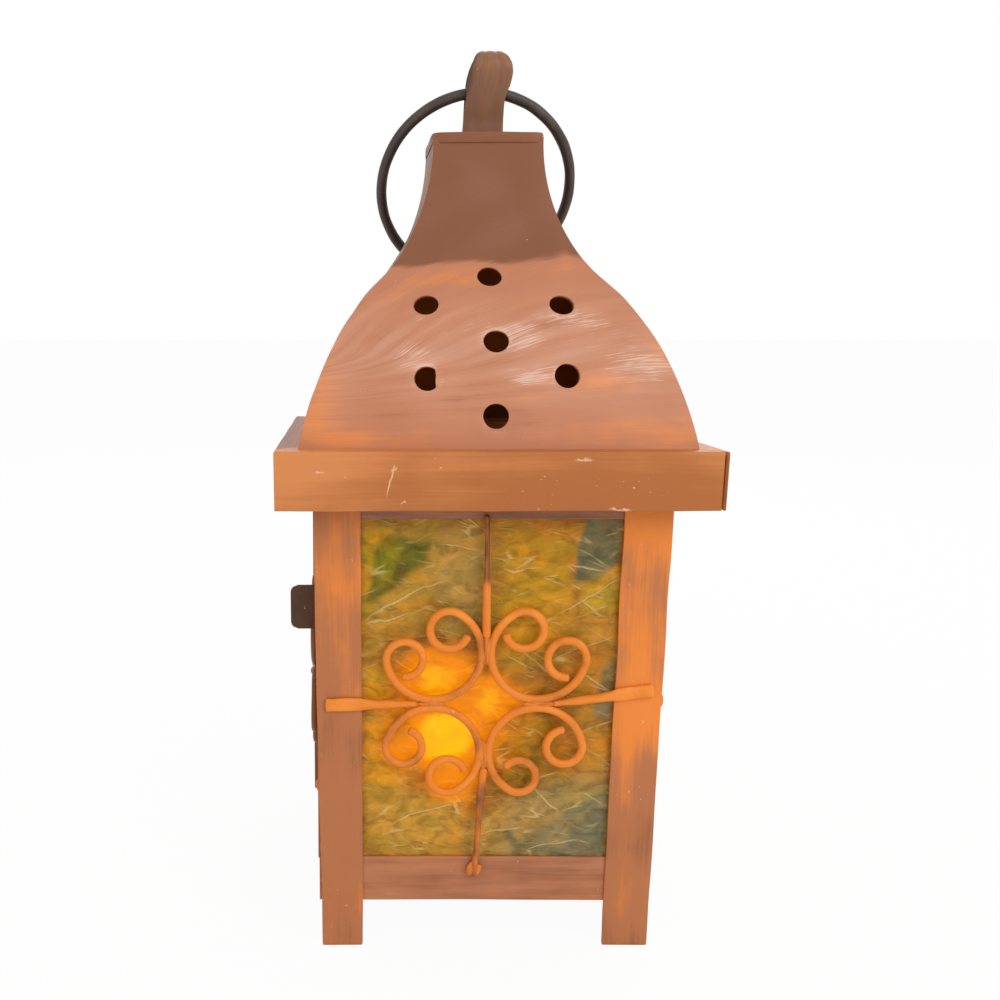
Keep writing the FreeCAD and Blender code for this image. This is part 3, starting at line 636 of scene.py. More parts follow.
def streaky_glass(name):
    """Rolled cathedral glass: tinted shards, mottling, wispy pale threads and a rippled face.

    The tint, and a painted glow standing in for the candle's light that the glass scatters, are attributes
    made with the pane.
    """
    f = Finish(name)
    uv = f.coordinates("UV")
    tint = f.put("ShaderNodeAttribute", {}, attribute_name="tint").outputs["Color"]
    cloud = f.noise(uv, (26, 17, 1), (4, 1, 0), detail=3.0, distortion=1.4)
    mottle = f.noise(uv, (7, 4.5, 1), (1, 6, 0), detail=4.0, rough=0.55, distortion=0.7)
    grain = f.noise(uv, (1.6, 1.1, 1), (3, 3, 0), detail=3.0, rough=0.6)
    colour = f.mix(f.band(cloud, 0.42, 0.68, 0.0, 0.55), tint, (1.25, 0.92, 0.35), "MULTIPLY")
    colour = f.mix(f.band(cloud, 0.50, 0.30, 0.0, 0.65), colour, (0.72, 0.88, 0.62), "MULTIPLY")
    colour = f.mix(f.band(mottle, 0.48, 0.66, 0.0, 0.55), colour, (1.45, 1.32, 1.25), "MULTIPLY")
    colour = f.mix(f.band(mottle, 0.52, 0.34, 0.0, 0.60), colour, (0.55, 0.50, 0.45), "MULTIPLY")
    colour = f.mix(f.band(grain, 0.45, 0.70, 0.0, 0.30), colour, (1.3, 1.25, 1.4), "MULTIPLY")
    parts = f.parts(uv)
    threads = []
    for k, (angle, long, short) in enumerate(((19, 34, 6.0), (-24, 24, 4.6), (-3, 17, 3.2))):
        a = math.radians(angle)
        along = f.times_add(parts[0], math.cos(a), f.times(parts[1], math.sin(a)))
        across = f.times_add(parts[0], -math.sin(a), f.times(parts[1], math.cos(a)))
        line = f.joined(along, across, float(3 * k))
        fibre = f.band(f.web(line, (long, short, 1), 0.55, (k * 3, 2, 0)), 0.080, 0.012)
        where = f.band(f.noise(line, (12, 7, 1), (k * 7, 5, 0), detail=1.0), 0.54, 0.70)
        dash = f.band(
            f.noise(line, (11, 0.8, 1), (k * 5, 8, 0), detail=1.0, distortion=0.6), 0.68, 0.84, 0.0, 0.5
        )
        threads.append(f.larger(f.times(fibre, where), dash))
    thread = f.larger(f.larger(threads[0], threads[1]), f.times(threads[2], 0.8))
    pane = f.maths("ROUND", f.maths("DIVIDE", parts[0], PANE_SHIFT[0]))
    x = f.times_add(pane, -PANE_SHIFT[0], parts[0])
    z = f.times_add(pane, -PANE_SHIFT[1] - STRAND_LIFT, parts[1])
    z = f.times_add(f.minus(cloud, 0.5), 5.0, z)
    z = f.times_add(f.minus(mottle, 0.5), 2.0, z)
    for line in STRANDS:
        thread = f.larger(thread, f.strand(x, z, line, 0.55))
    # Painted glow: the pane emits light and its colour darkens where its glow attribute is high, standing in
    # for the candle's light.
    glow = f.times_add(f.minus(mottle, 0.5), 0.25, f.value_of("glow"))
    near = f.band(glow, 0.20, 0.66)
    core = f.band(glow, 0.66, 1.0)
    light = f.mix(core, (0.82, 0.235, 0.001), (1.0, 0.52, 0.002))
    colour = f.mix(near, colour, (0.16, 0.04, 0.0005))
    colour = f.mix(f.times(thread, f.band(near, 0.9, 0.1, 0.05, 0.50)), colour, (0.86, 0.62, 0.24))
    strength = f.times(near, f.times_add(mottle, 0.45, 0.66))
    strength = f.times_add(thread, f.times(near, 0.15), strength)
    f.bump([(mottle, 0.0005), (grain, 0.00012), (cloud, 0.0010), (thread, 0.0003)])
    return f.set(
        Base_Color=colour,
        Roughness=f.times_add(mottle, 0.3, 0.18),
        Transmission_Weight=0.10,
        IOR=1.45,
        Specular_IOR_Level=0.15,
        Emission_Color=light,
        Emission_Strength=strength,
    )


def pale_wax(name):
    """Candle wax: soft, a little see through at the rim, with a faint warm mottle."""
    f = Finish(name)
    place = f.coordinates("Object")
    cloud = f.noise(place, (0.012, 0.012, 0.02), detail=3.0)
    fine = f.noise(place, (0.0015, 0.0015, 0.003), detail=2.0)
    tone = f.mix(f.band(cloud, 0.3, 0.7), (0.82, 0.70, 0.46), (0.90, 0.83, 0.64))
    f.bump([(fine, 0.00005), (cloud, 0.0003)])
    return f.set(Base_Color=tone, Roughness=0.38, Subsurface_Weight=0.35, Subsurface_Scale=0.006)


def charred_cotton(name):
    """A braided wick, burnt black at its tip."""
    f = Finish(name)
    uv = f.coordinates("UV")
    parts = f.parts(uv)
    twist = f.maths("SINE", f.times_add(parts[0], 5.0, f.times(parts[1], 2.5)))
    ash = f.noise(uv, (1.2, 0.8, 1), detail=3.0)
    tone = f.mix(f.band(ash, 0.4, 0.7), (0.02, 0.017, 0.015), (0.11, 0.09, 0.075))
    f.bump([(twist, 0.00015), (ash, 0.0001)])
    return f.set(Base_Color=tone, Roughness=0.9)


def burning(name, colour):
    """The flame: deep orange low down, near white in its body."""
    f = Finish(name)
    uv = f.coordinates("UV")
    height = f.parts(uv)[0]
    tone = f.mix(f.band(height, 2.0, 12.0), colour, (1.0, 0.80, 0.36))
    return f.set(
        Base_Color=(0.0, 0.0, 0.0, 1.0),
        Emission_Color=tone,
        Emission_Strength=f.band(height, 0.0, 9.0, 2.0, 6.0),
    )


def shaded(colour, share):
    """A colour made darker or lighter by one share."""
    return tuple(share * v for v in colour)


def finishes():
    """All the finishes, made once and then found by name."""
    if "roof_paint" in bpy.data.materials:
        return bpy.data.materials
    c = bpy.context.scene.lantern_colours
    copper, orange, ochre, umber, pale, brown = (
        tuple(v) for v in (c.copper, c.orange, c.ochre, c.umber, c.pale, c.strap)
    )
    brushed_paint(
        "roof_paint",
        (umber, copper, (0.76, 0.25, 0.06), pale),
        stroke=(30, 1.0),
        arch=0.0045,
        chips=0.1,
        blotch=0.85,
    )
    light_ochre = (0.66, 0.24, 0.075)
    brushed_paint(
        "band_paint",
        (shaded(ochre, 0.7), ochre, light_ochre, pale),
        stroke=(60, 0.9),
        chips=0.9,
        blotch=0.5,
        scratches=BAND_SCRATCHES,
    )
    post_tone = [0.4 * a + 0.6 * b for a, b in zip(copper, ochre)]
    brushed_paint(
        "post_paint", (umber, post_tone, orange, pale), stroke=(34, 0.8), sheen_and_dry_strokes=0.2, chips=0.35, blotch=0.8
    )
    wire_tones = (umber, (0.80, 0.235, 0.030), (0.95, 0.34, 0.055), pale)
    brushed_paint("orange_wire", wire_tones, stroke=(9, 1.1), chips=0.2, blotch=1.3, shine=0.2)
    brushed_paint(
        "strap_paint",
        (shaded(brown, 0.45), brown, (0.33, 0.14, 0.062), (0.40, 0.25, 0.17)),
        stroke=(14, 0.8),
        sheen_and_dry_strokes=0.35,
        depth=0.00009,
    )
    # The finger tab's dark browns are painted shade of the unlit left side.
    brushed_paint(
        "tab_paint",
        (shaded(brown, 0.25), (0.105, 0.046, 0.021), brown, (0.30, 0.20, 0.13)),
        stroke=(9, 1.1),
        chips=0.3,
    )
    sooty_tin("sooty_inside", (0.17, 0.085, 0.05))
    blackened_wire("ring_black", tuple(c.ring))
    pin_steel("drawn_steel")
    streaky_glass("streaky_glass")
    pale_wax("pale_wax")
    charred_cotton("charred_cotton")
    burning("burning", tuple(c.flame))
    return bpy.data.materials


# The roof


class Ogee:
    """The outside of a roof panel: a belly arc, a shoulder arc and a sweep up to the neck, which run on.

    The leans are shares of the straight line's lean from base to neck, and the last two arcs have one radius.
    """

    def __init__(self, base, neck, foot, height):
        chord = math.atan2(base - neck, height)
        self.lean = np.array([0.512, 1.024, 1.853]) * chord
        sine, cosine = np.sin(self.lean), np.cos(self.lean)
        matrix = [
            [sine[1] - sine[0], 2 * sine[2] - sine[1]],
            [cosine[0] - cosine[1], cosine[1] - 2 * cosine[2] + 1],
        ]
        self.belly, self.bend = np.linalg.solve(matrix, [height, base - neck])
        self.base, self.neck, self.foot, self.height = base, neck, foot, height
        turns = np.array([self.lean[1] - self.lean[0], self.lean[2] - self.lean[1], self.lean[2]])
        self.ends = np.concatenate([[0], np.cumsum(turns * [self.belly, self.bend, self.bend])])

    def at(self, run):
        """Half width, height and lean for an array of runs along the outside from the base."""
        first = self.lean[0] + run / self.belly
        out1 = self.base - self.belly * (math.cos(self.lean[0]) - np.cos(first))
        up1 = self.belly * (np.sin(first) - math.sin(self.lean[0]))
        second = self.lean[1] + (run - self.ends[1]) / self.bend
        out_a = self.base - self.belly * (math.cos(self.lean[0]) - math.cos(self.lean[1]))
        up_a = self.belly * (math.sin(self.lean[1]) - math.sin(self.lean[0]))
        out2 = out_a - self.bend * (math.cos(self.lean[1]) - np.cos(second))
        up2 = up_a + self.bend * (np.sin(second) - math.sin(self.lean[1]))
        third = (self.ends[3] - run) / self.bend
        out3 = self.neck + self.bend * (1 - np.cos(third))
        up3 = self.height - self.bend * np.sin(third)
        zones = [run <= self.ends[1], run <= self.ends[2]]
        out = np.select(zones, [out1, out2], out3)
        up = np.select(zones, [up1, up2], up3)
        return out, self.foot + up, np.select(zones, [first, second], third)


# The roof's outline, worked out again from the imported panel's own corners and the sheet it was drawn with.
PACKED_SHEET = 0.8
OGEE = Ogee(-ROOF_LOW[1], -ROOF_HIGH[1] + PACKED_SHEET, ROOF_LOW[2], ROOF_HIGH[2] - ROOF_LOW[2])

# The punched holes, in mm: place of the outer columns, runs of the rows up the sheet, half a square cell, and
# the steps of the grids in and between the cells.
HOLE_COLUMN = 22.5
HOLE_ROWS = (10.0, 23.0, 36.0, 49.0, 62.0)
HOLES = [(0.0, row) for row in HOLE_ROWS[::2]]
HOLES += [(side * HOLE_COLUMN, row) for row in HOLE_ROWS[1::2] for side in (-1, 1)]
HOLE_CELL = 5.5
CELL_STEPS = 8
SHEET_STEP = 1.4

# The lump of paint in one front hole, and how far the shoulder is beaten out: run, reach and depth.
LUMPY_HOLE, LUMP_FROM = (-HOLE_COLUMN, HOLE_ROWS[1]), 2.6
SHOULDER = (57, 8.5, 0.9)

# How far each front hole was punched from its place along x and run. Then the painted highlights, laid as dry
# pale strokes, and the fresh strokes:
# x, run and the reaches along both.
HOLE_STRAY = ((-0.7, 0.7), (0.0, 0.3), (-0.7, 1.1), (-0.3, 0.0), (0.0, 1.0), (0.0, 1.1), (-0.3, 1.1))
PAINTED_HIGHLIGHT_SPOTS = ((7, 37, 20, 9), (46, 27, 16, 9), (-26, 31, 15, 7), (24, 44, 18, 6), (12, 24, 16, 5))
FRESH_SPOTS = (
    (-19, 62, 16, 5),
    (36, 22, 14, 5),
    (-58, 20, 7, 16),
    (54, 44, 4, 14),
    (-44, 3, 22, 4),
    (48, 6, 20, 6),
    (-11, 112, 5, 4),
    (25, 80, 3, 12),
)


def spots(x, run, places):
    """Soft spots: the largest of some bell curves with their own reaches along x and run, and strengths."""
    bells = [(*h, 1)[0] * np.exp(-(((x - a) / c) ** 2 + ((run - b) / d) ** 2)) for a, b, c, d, *h in places]
    return np.maximum.reduce(bells)


def plain_patch(x, s):
    """A grid of points of the flat roof blank, and its quads."""
    gx, gs = np.meshgrid(x, s)
    return np.stack([gx.ravel(), gs.ravel()], axis=-1), grid_quads(len(s), len(x))


def holed_patch(centre, radius, shift, flat_from=None, per_side=CELL_STEPS, rings=5):
    """A square cell with a round hole: straight lines from a circle to evenly spaced points of the square.

    A lump of paint can close the hole from one x on.
    """
    t = np.arange(per_side) / per_side * 2 - 1
    one = np.ones(per_side)
    square = np.concatenate([np.stack(p, axis=-1) for p in ((t, -one), (one, t), (-t, one), (-one, -t))])
    angle = np.arctan2(square[:, 1], square[:, 0])
    circle = np.stack([np.cos(angle), np.sin(angle)], axis=-1) * radius + np.asarray(shift)
    if flat_from is not None:
        circle[:, 0] = np.minimum(circle[:, 0], flat_from + 0.08 * np.sin(circle[:, 1] * 1.7))
    share = (np.linspace(0, 1, rings) ** 1.3)[:, None, None]
    points = circle[None] * (1 - share) + square[None] * HOLE_CELL * share + np.asarray(centre)
    return points.reshape(-1, 2), grid_quads(rings, len(square), closed_columns=True)[:, [0, 3, 2, 1]]


def blank_steps(start, end):
    """Even steps over a cell or over the plain sheet between two cells."""
    in_cell = abs(end - start - 2 * HOLE_CELL) < 0.01
    steps = CELL_STEPS if in_cell else max(2, round((end - start) / SHEET_STEP))
    return np.linspace(start, end, steps + 1)


def roof_blank(front, hole):
    """The flat punched blank: points (x, run), quads and the run where the plain neck starts."""
    reach = OGEE.base
    cell = np.array([-HOLE_CELL, HOLE_CELL])
    columns = np.array([[-HOLE_COLUMN], [0.0], [HOLE_COLUMN]]) + cell
    x_breaks = np.array([-reach, *columns.ravel(), reach])
    rows = np.array(HOLE_ROWS)[:, None] + cell
    s_breaks = np.array([0, *rows.ravel(), OGEE.ends[3]])
    parts, faces, offset = [], [], 0
    for a, b in zip(x_breaks, x_breaks[1:]):
        for c, d in zip(s_breaks, s_breaks[1:]):
            hit = [k for k, h in enumerate(HOLES) if a < h[0] < b and c < h[1] < d]
            if hit:
                aside = np.sign(HOLES[hit[0]][0])
                stray = np.array(HOLE_STRAY[hit[0]] if front else (1.15 * aside, -1.1 * abs(aside)))
                lumpy = LUMP_FROM if front and HOLES[hit[0]] == LUMPY_HOLE else None
                points, quads = holed_patch(HOLES[hit[0]], hole / 2, stray, lumpy)
            else:
                points, quads = plain_patch(*(blank_steps(*span) for span in ((a, b), (c, d))))
            parts.append(points)
            faces.append(quads + offset)
            offset += len(points)
    flat, quads = merged(np.concatenate(parts), np.concatenate(faces))
    return flat, quads, s_breaks[-2]


def roof_sheet(side, sheet, hole, uneven):
    """One roof panel: the blank's x is stretched out to the hips, and its run follows the ogee."""
    seed = SIDES[side] // 90
    reach = OGEE.base
    flat, quads, last_row = roof_blank(side == "front", hole)
    fold = HOLE_COLUMN + HOLE_CELL
    out, up, lean = OGEE.at(flat[:, 1])
    shoulder_run, shoulder_reach, beaten_out = SHOULDER
    out = out + beaten_out * np.exp(-(((flat[:, 1] - shoulder_run) / shoulder_reach) ** 2))
    narrow = np.where(flat[:, 1] > last_row, out / OGEE.at(np.array([last_row]))[0][0], 1.0)
    beyond = np.clip((np.abs(flat[:, 0]) - fold) / (reach - fold), 0, None)
    x = np.where(
        beyond > 0,
        np.sign(flat[:, 0]) * (fold * narrow + beyond * (out - fold * narrow)),
        flat[:, 0] * narrow,
    )
    rim = np.minimum.reduce([out - np.abs(x), flat[:, 1], OGEE.ends[3] - flat[:, 1]])
    dent = uneven * 3.0 * waves(x, flat[:, 1], 60 + seed, 34) * np.clip(rim / 12, 0, 1)
    punched = np.minimum.reduce([np.hypot(flat[:, 0] - h[0], flat[:, 1] - h[1]) for h in HOLES])
    dent -= 0.40 * np.clip((7.5 - punched) / 3.4, 0, 1) ** 2
    layers = []
    for depth in (0, sheet):
        inset = depth - dent
        y = -(out - inset * np.cos(lean))
        layers.append(
            np.stack([x * (out - depth * np.cos(lean)) / out, y, up - inset * np.sin(lean)], axis=-1)
        )
    points, faces, corner_uv = thick_sheet(layers[0], layers[1], quads, np.stack([x, flat[:, 1]], axis=-1))
    hand = 1 if side == "front" else (-1) ** seed
    run = flat[:, 1] + 0.8 * waves(x, 0 * x, 90 + seed, 25)
    neck = smooth((run - 66) / (7 + 0.08 * hand * x))
    rim_glow = np.clip(1.35 - punched / 4.2, 0, 1) * (punched > 4.3) * 0.7
    warmth = 0.50 + 0.17 * spots(hand * x, run, FRESH_SPOTS) - 0.42 * neck
    # Painted highlight: a pale band over the belly and the highlight spots go into the sheen share, and the
    # hole rims add to it.
    belly = 0.58 * np.exp(-(((run - 34) / 20) ** 2))
    sheen_and_dry_strokes = np.clip(np.maximum(spots(hand * x, run, PAINTED_HIGHLIGHT_SPOTS), belly), 0, 1) + rim_glow
    warmth = np.concatenate([warmth, warmth * 0 + 0.08])
    return (turned(points, SIDES[side]), faces, corner_uv), warmth, np.concatenate([sheen_and_dry_strokes, 0 * sheen_and_dry_strokes])


class LANTERN_OT_roof(bpy.types.Operator):
    """Four ogee panels with round punched holes"""

    bl_idname = "lantern.roof"
    bl_label = "Roof panels"

    def execute(self, context):
        measures = [size_mm(name) for name in ("sheet", "hole", "unevenness")]
        for k, side in enumerate(SIDES):
            shape, warmth, sheen_and_dry_strokes = roof_sheet(side, *measures)
            node = "roof_panel_" + side
            add_piece("roof_sheet_" + side, shape, "roof_paint", [node], "lantern", warmth, sheen_and_dry_strokes, k)
        return {"FINISHED"}


class LANTERN_OT_cap(bpy.types.Operator):
    """The lid in the neck"""

    bl_idname = "lantern.cap"
    bl_label = "Cap"

    def execute(self, context):
        half = CAP_HIGH[0]
        lip = OGEE.foot + OGEE.height
        top = CAP_HIGH[2]
        hem = lip - 1.5
        inside = [(0.4, top - 0.8), (half - 1.6, lip - 6), (half - 0.9, lip - 6), (half - 0.9, lip)]
        outside = [(half + 0.05, lip), (half + 0.05, hem), (half + 0.5, hem), (half + 0.5, top), (0.4, top)]
        profile = rounded_outline(inside + outside, 0.7)
        angle = round_angles(96)
        power = 14.0
        radius = (np.abs(np.cos(angle)) ** power + np.abs(np.sin(angle)) ** power) ** (-1 / power)
        x = np.outer(radius * np.cos(angle), profile[:, 0])
        y = np.outer(radius * np.sin(angle), profile[:, 0])
        sag = 0.25 * (1 + waves(x, y, 5, 20)) * (np.hypot(x, y) > half * 0.7)
        shape = loft(np.stack([x, y, profile[:, 1] - sag], axis=-1), closed_path=True)
        add_piece("cap_lid", shape, "post_paint", ["roof_cap"], warmth=0.16)
        return {"FINISHED"}


# The strap and its ring

STRAP_THICK = 1.2


def strap_path(steps=22):
    """The middle line of the folded strap in Y and Z: foot, stem, flank, half turn, flank, stem and foot."""
    inner = 5.2
    centre = STRAP_HIGH[2] - STRAP_THICK - inner
    pinch = CAP_HIGH[2] + 5.9
    lean = math.asin(inner / (centre - pinch))
    radius = inner + STRAP_THICK / 2
    turn = np.linspace(-lean, math.pi + lean, steps)
    eye = np.stack([radius * np.cos(turn), centre + radius * np.sin(turn)], axis=-1)
    near, bottom = STRAP_THICK / 2, STRAP_LOW[2] + STRAP_THICK / 2
    foot = [[STRAP_HIGH[1], bottom], [3.0, bottom]]
    stem = [[near, bottom], [near, CAP_HIGH[2] + 1.5], [near, pinch - 1.0], [near + 0.12, pinch + 0.9]]
    right = np.array(foot + stem)
    t = np.linspace(0, 1, 8)[1:-1, None]
    right = np.concatenate([right, right[-1] * (1 - t) + eye[0] * t])
    return np.concatenate([right, eye, right[::-1] * [-1, 1]])


# The strap's edges in the photograph: shares of its height above the cap, then shares of half its width.
STRAP_RISE = (0.0, 0.40, 0.50, 0.59, 0.71, 0.82, 0.91, 0.965, 1.0)
STRAP_LEFT = (-1.0, -0.90, -0.87, -0.84, -0.77, -0.65, -0.50, -0.30, 0.06)
STRAP_RIGHT = (1.0, 0.99, 1.04, 1.22, 1.33, 1.27, 1.08, 0.86, 0.52)


class LANTERN_OT_hanger(bpy.types.Operator):
    """The strip folded into an eye on top"""

    bl_idname = "lantern.hanger"
    bl_label = "Hanger strap"

    def execute(self, context):
        path = strap_path()
        tangent = unit(np.gradient(path, axis=0))
        normal = np.stack([tangent[:, 1], -tangent[:, 0]], axis=-1)
        half = STRAP_HIGH[0]
        width = np.linspace(-1, 1, 15)
        skin = STRAP_THICK / 2 * (1 - 0.55 * np.abs(width) ** 8)
        share = np.concatenate([width, width[::-1]])[None]
        rise = np.clip((path[:, 1] - CAP_HIGH[2]) / (STRAP_HIGH[2] - CAP_HIGH[2]), 0, 1)
        left, right = (
            half * np.interp(rise, STRAP_RISE, edge)[:, None] for edge in (STRAP_LEFT, STRAP_RIGHT)
        )
        x = left + (right - left) * (share + 1) / 2
        crease = 0.30 * np.exp(-(((share - 0.45) / 0.16) ** 2))
        crease = crease + 0.22 * np.exp(-(((share + 0.5) / 0.18) ** 2))
        offset = np.concatenate([-skin, skin[::-1]]) - crease * np.clip(rise * 3, 0, 1)[:, None]
        y = path[:, None, 0] + normal[:, None, 0] * offset
        z = path[:, None, 1] + normal[:, None, 1] * offset
        # Painted shade: a darker strip down the eye's left edge above the cap; the strap is also a little
        # warmer higher up.
        worn = np.exp(-(((share + 1) / 0.22) ** 2)) * np.clip((rise - 0.35) * 5, 0, 1)[:, None]
        warmth = 0.5 - 0.45 * worn + 0.1 * rise[:, None]
        shape = loft(np.stack([x, y, z], axis=-1))
        add_piece("strap_eye", shape, "strap_paint", ["hanger_strap"], warmth=warmth.ravel())
        return {"FINISHED"}


class LANTERN_OT_ring(bpy.types.Operator):
    """The round wire ring in the eye"""

    bl_idname = "lantern.ring"
    bl_label = "Hanging ring"

    def execute(self, context):
        wire = size_mm("ring_wire") / 2
        radius = RING_HIGH[0] - wire
        drop = RING_PIVOT - (RING_LOW[2] + RING_HIGH[2]) / 2
        lean = math.acos(min(1, drop / radius))
        angle = round_angles(160)[:, None]
        down, normal = np.array([[0, math.sin(lean), -math.cos(lean)], [0, math.cos(lean), math.sin(lean)]])
        path = [0, 0, RING_PIVOT] + radius * (np.sin(angle) * [1, 0, 0] + (1 - np.cos(angle)) * down)
        across = np.cross(normal, np.cos(angle) * [1, 0, 0] + np.sin(angle) * down)
        turn = round_angles(20)
        stray = 1 - 0.035 * (1 + waves(np.cos(angle) * 60 + turn * 2, np.sin(angle) * 60, 9, 22))
        spokes = across[:, None] * np.cos(turn)[:, None] + normal * np.sin(turn)[:, None]
        shape = loft(path[:, None] + wire * stray[..., None] * spokes, closed_path=True)
        add_piece("ring_wire", shape, "ring_black", ["hanging_ring"], "ring")
        return {"FINISHED"}


# Posts, rails and eave. The front left post is skewed: heights in mm and how far its outer edge strays there.

SKEW_HEIGHTS = (0, 30, 60, 120, 178)
SKEW = (1.8, 1.5, 0.6, -0.2, -0.6)


class LANTERN_OT_posts(bpy.types.Operator):
    """The four corner angles"""

    bl_idname = "lantern.posts"
    bl_label = "Corner posts"

    def execute(self, context):
        t = size_mm("sheet")
        low, high = -HALF, POST_HIGH[0]
        corners = [
            (low, low), (high, low), (high, low + t), (low + t, low + t), (low + t, high), (low, high)
        ]
        stations = np.concatenate([[0, 0.15, 0.5, 1.2], np.linspace(2.5, POST_HIGH[2], 90)])
        for k, name in enumerate(("front_left", "front_right", "back_right", "back_left")):
            rings = swept_sheet(corners, stations, 2, 70 + k, size_mm("unevenness"))
            worn = 0.7 * (1 - np.sqrt(1 - np.clip(1 - stations / 1.2, 0, 1) ** 2))[:, None]
            share = (rings[..., :2] - low) / (high - low)
            rings[..., :2] -= worn[..., None] * np.clip(share * 2 - 1, -0.6, 1)
            if name == "front_left":
                skew = np.interp(stations, SKEW_HEIGHTS, SKEW)[:, None]
                taper = np.interp(stations, (20, 178), (0.0, -1.4))[:, None]
                across = rings[..., 0].copy()
                rings[..., 0] += skew * (1 - (across - low) / (high - low)) + taper * (across > low + 2)
            rings = np.maximum(rings, [low - 0.7, low, 0])
            height = rings[..., 2].ravel() / POST_HIGH[2]
            fresh = np.clip((height - 0.40) * 4, 0, 1)
            fresh = fresh * (0.75 + 0.25 * waves(height * 90, 0 * height, 80 + k, 50))
            # The upper posts get fresher paint; the front right post gets the most and a lighter band near
            # mid height, partly fresh paint and partly painted light from the right.
            warmth = 0.46 + (0.13, 0.36, 0.25, 0.25)[k] * fresh
            if name == "front_right":
                warmth += 0.16 * np.exp(-(((height - 0.46) / 0.13) ** 2))
            warmth += 0.10 * waves(height * 178, rings[..., 0].ravel() * 3, 85 + k, 30)
            shape = loft(turned(rings, 90 * k))
            node = "post_" + name
            add_piece("post_sheet_" + name, shape, "post_paint", [node], warmth=warmth, patch=k)
        return {"FINISHED"}


class LANTERN_OT_rails(bpy.types.Operator):
    """The bottom and top rails that hold the panes"""

    bl_idname = "lantern.rails"
    bl_label = "Rails"

    def execute(self, context):
        t = size_mm("sheet")
        out, back = RAIL_LOW[1], RAIL_HIGH[1]
        low, high = RAIL_LOW[2], RAIL_HIGH[2]
        lip = box_mm("floor_pan")[1][2]
        bottom = [(out, low), (back, low), (back, lip), (back - t, lip)]
        bottom += [(back - t, low + t), (out + t, low + t), (out + t, high), (out, high)]
        low, high = HEAD_LOW[2], HEAD_HIGH[2]
        lip = high - t - 13.6
        top = [(out, low), (out + t, low), (out + t, high - t), (back - t, high - t)]
        top += [(back - t, lip), (back, lip), (back, high), (out, high)]
        for k, side in enumerate(SIDES):
            for n, (kind, corners) in enumerate((("bottom", bottom), ("top", top))):
                node = kind + "_rail_" + side
                reach = box_mm(node)[1][k % 2]
                stations = np.linspace(-reach, reach, 60)
                rings = swept_sheet(corners, stations, 0, 90 + 4 * k + n, size_mm("unevenness") * 0.6)
                rings[..., 1] = np.clip(rings[..., 1], out, back)
                shape = loft(turned(rings, SIDES[side]))
                name = kind + "_rail_sheet_" + side
                # The top rail is painted darker than the bottom one, as painted shadow of the eave band above
                # it.
                add_piece(name, shape, "post_paint", [node], "lantern", (0.42, 0.3)[n], 0.25, k)
        return {"FINISHED"}


class LANTERN_OT_eave(bpy.types.Operator):
    """The deep band under the roof, with its seam at the front right corner"""

    bl_idname = "lantern.eave"
    bl_label = "Eave band"

    def execute(self, context):
        t = size_mm("sheet")
        half, low, high = EAVE_HIGH[0], EAVE_LOW[2], EAVE_HIGH[2]
        lap = HALF - 4.0
        corners = [
            (half, low), (half, high), (lap, high), (lap, high - t), (half - t, high - t), (half - t, low)
        ]
        d, z = rounded_outline(corners, 0.55).T
        share = np.linspace(-1, 1, 70)
        rings = []
        for side in ("right", "back", "left", "front"):
            ends = share if side == "front" else share[:-1]
            x = ends[:, None] * d
            if side == "front":
                x = np.minimum(x, half - t - 0.7)
            rings.append(turned(np.stack(np.broadcast_arrays(x, -d, z), axis=-1), SIDES[side]))
        rings = np.concatenate(rings)
        place = np.arctan2(rings[..., 1], rings[..., 0]) * half
        outward = np.clip((np.abs(rings[..., :2]).max(axis=-1) - 66) / 4, 0, 1)
        sag = -np.abs(waves(place, 0 * place, 3, 60)) * 0.25 * (rings[..., 2] < low + 2)
        rings[..., 2] -= sag * outward
        inward = 1 - np.abs(waves(place, rings[..., 2] * 2, 4, 44)) * 0.22 * outward / half
        rings[..., :2] *= inward[..., None]
        height = (rings[..., 2] - low) / (high - low)
        corner = np.clip(1 - np.abs(np.abs(rings[..., 0]) - np.abs(rings[..., 1])) / 16, 0, 1)
        warmth = 0.47 + 0.10 * corner + 0.05 * waves(place, 0 * place, 8, 45)
        warmth += 0.16 * np.exp(-(((rings[..., 0] + 56) / 22) ** 2)) * (rings[..., 1] < -60)
        # Painted light and shade: the top ledge is lighter, and darker on the left side where it is unlit.
        warmth += np.where((rings[..., 0] < -62) & (rings[..., 1] > -64), -0.30, 0.12) * (height > 0.93)
        add_piece("eave_sheet", loft(rings), "band_paint", ["eave_band"], warmth=warmth.ravel())
        return {"FINISHED"}


# The wire grilles

SCROLL_RADIUS = 16.2
SCROLL_SPACING = 17.75
CURL_RADIUS = 6.2
STEM_ANGLE = 122.0
ARM_ANGLE = -12.0
GRILLE_X, GRILLE_Z = -1.5, 92.2

# A packed wire is six-sided and lies on a flat: how far its middle is from that, in shares of its radius.
WIRE_FLAT = math.cos(math.pi / 6)


def arc(centre, radius, start, end, steps):
    """Points of a circle between two angles in degrees."""
    a = np.radians(np.linspace(start, end, steps))
    return np.stack([centre[0] + radius * np.cos(a), centre[1] + radius * np.sin(a)], axis=-1)


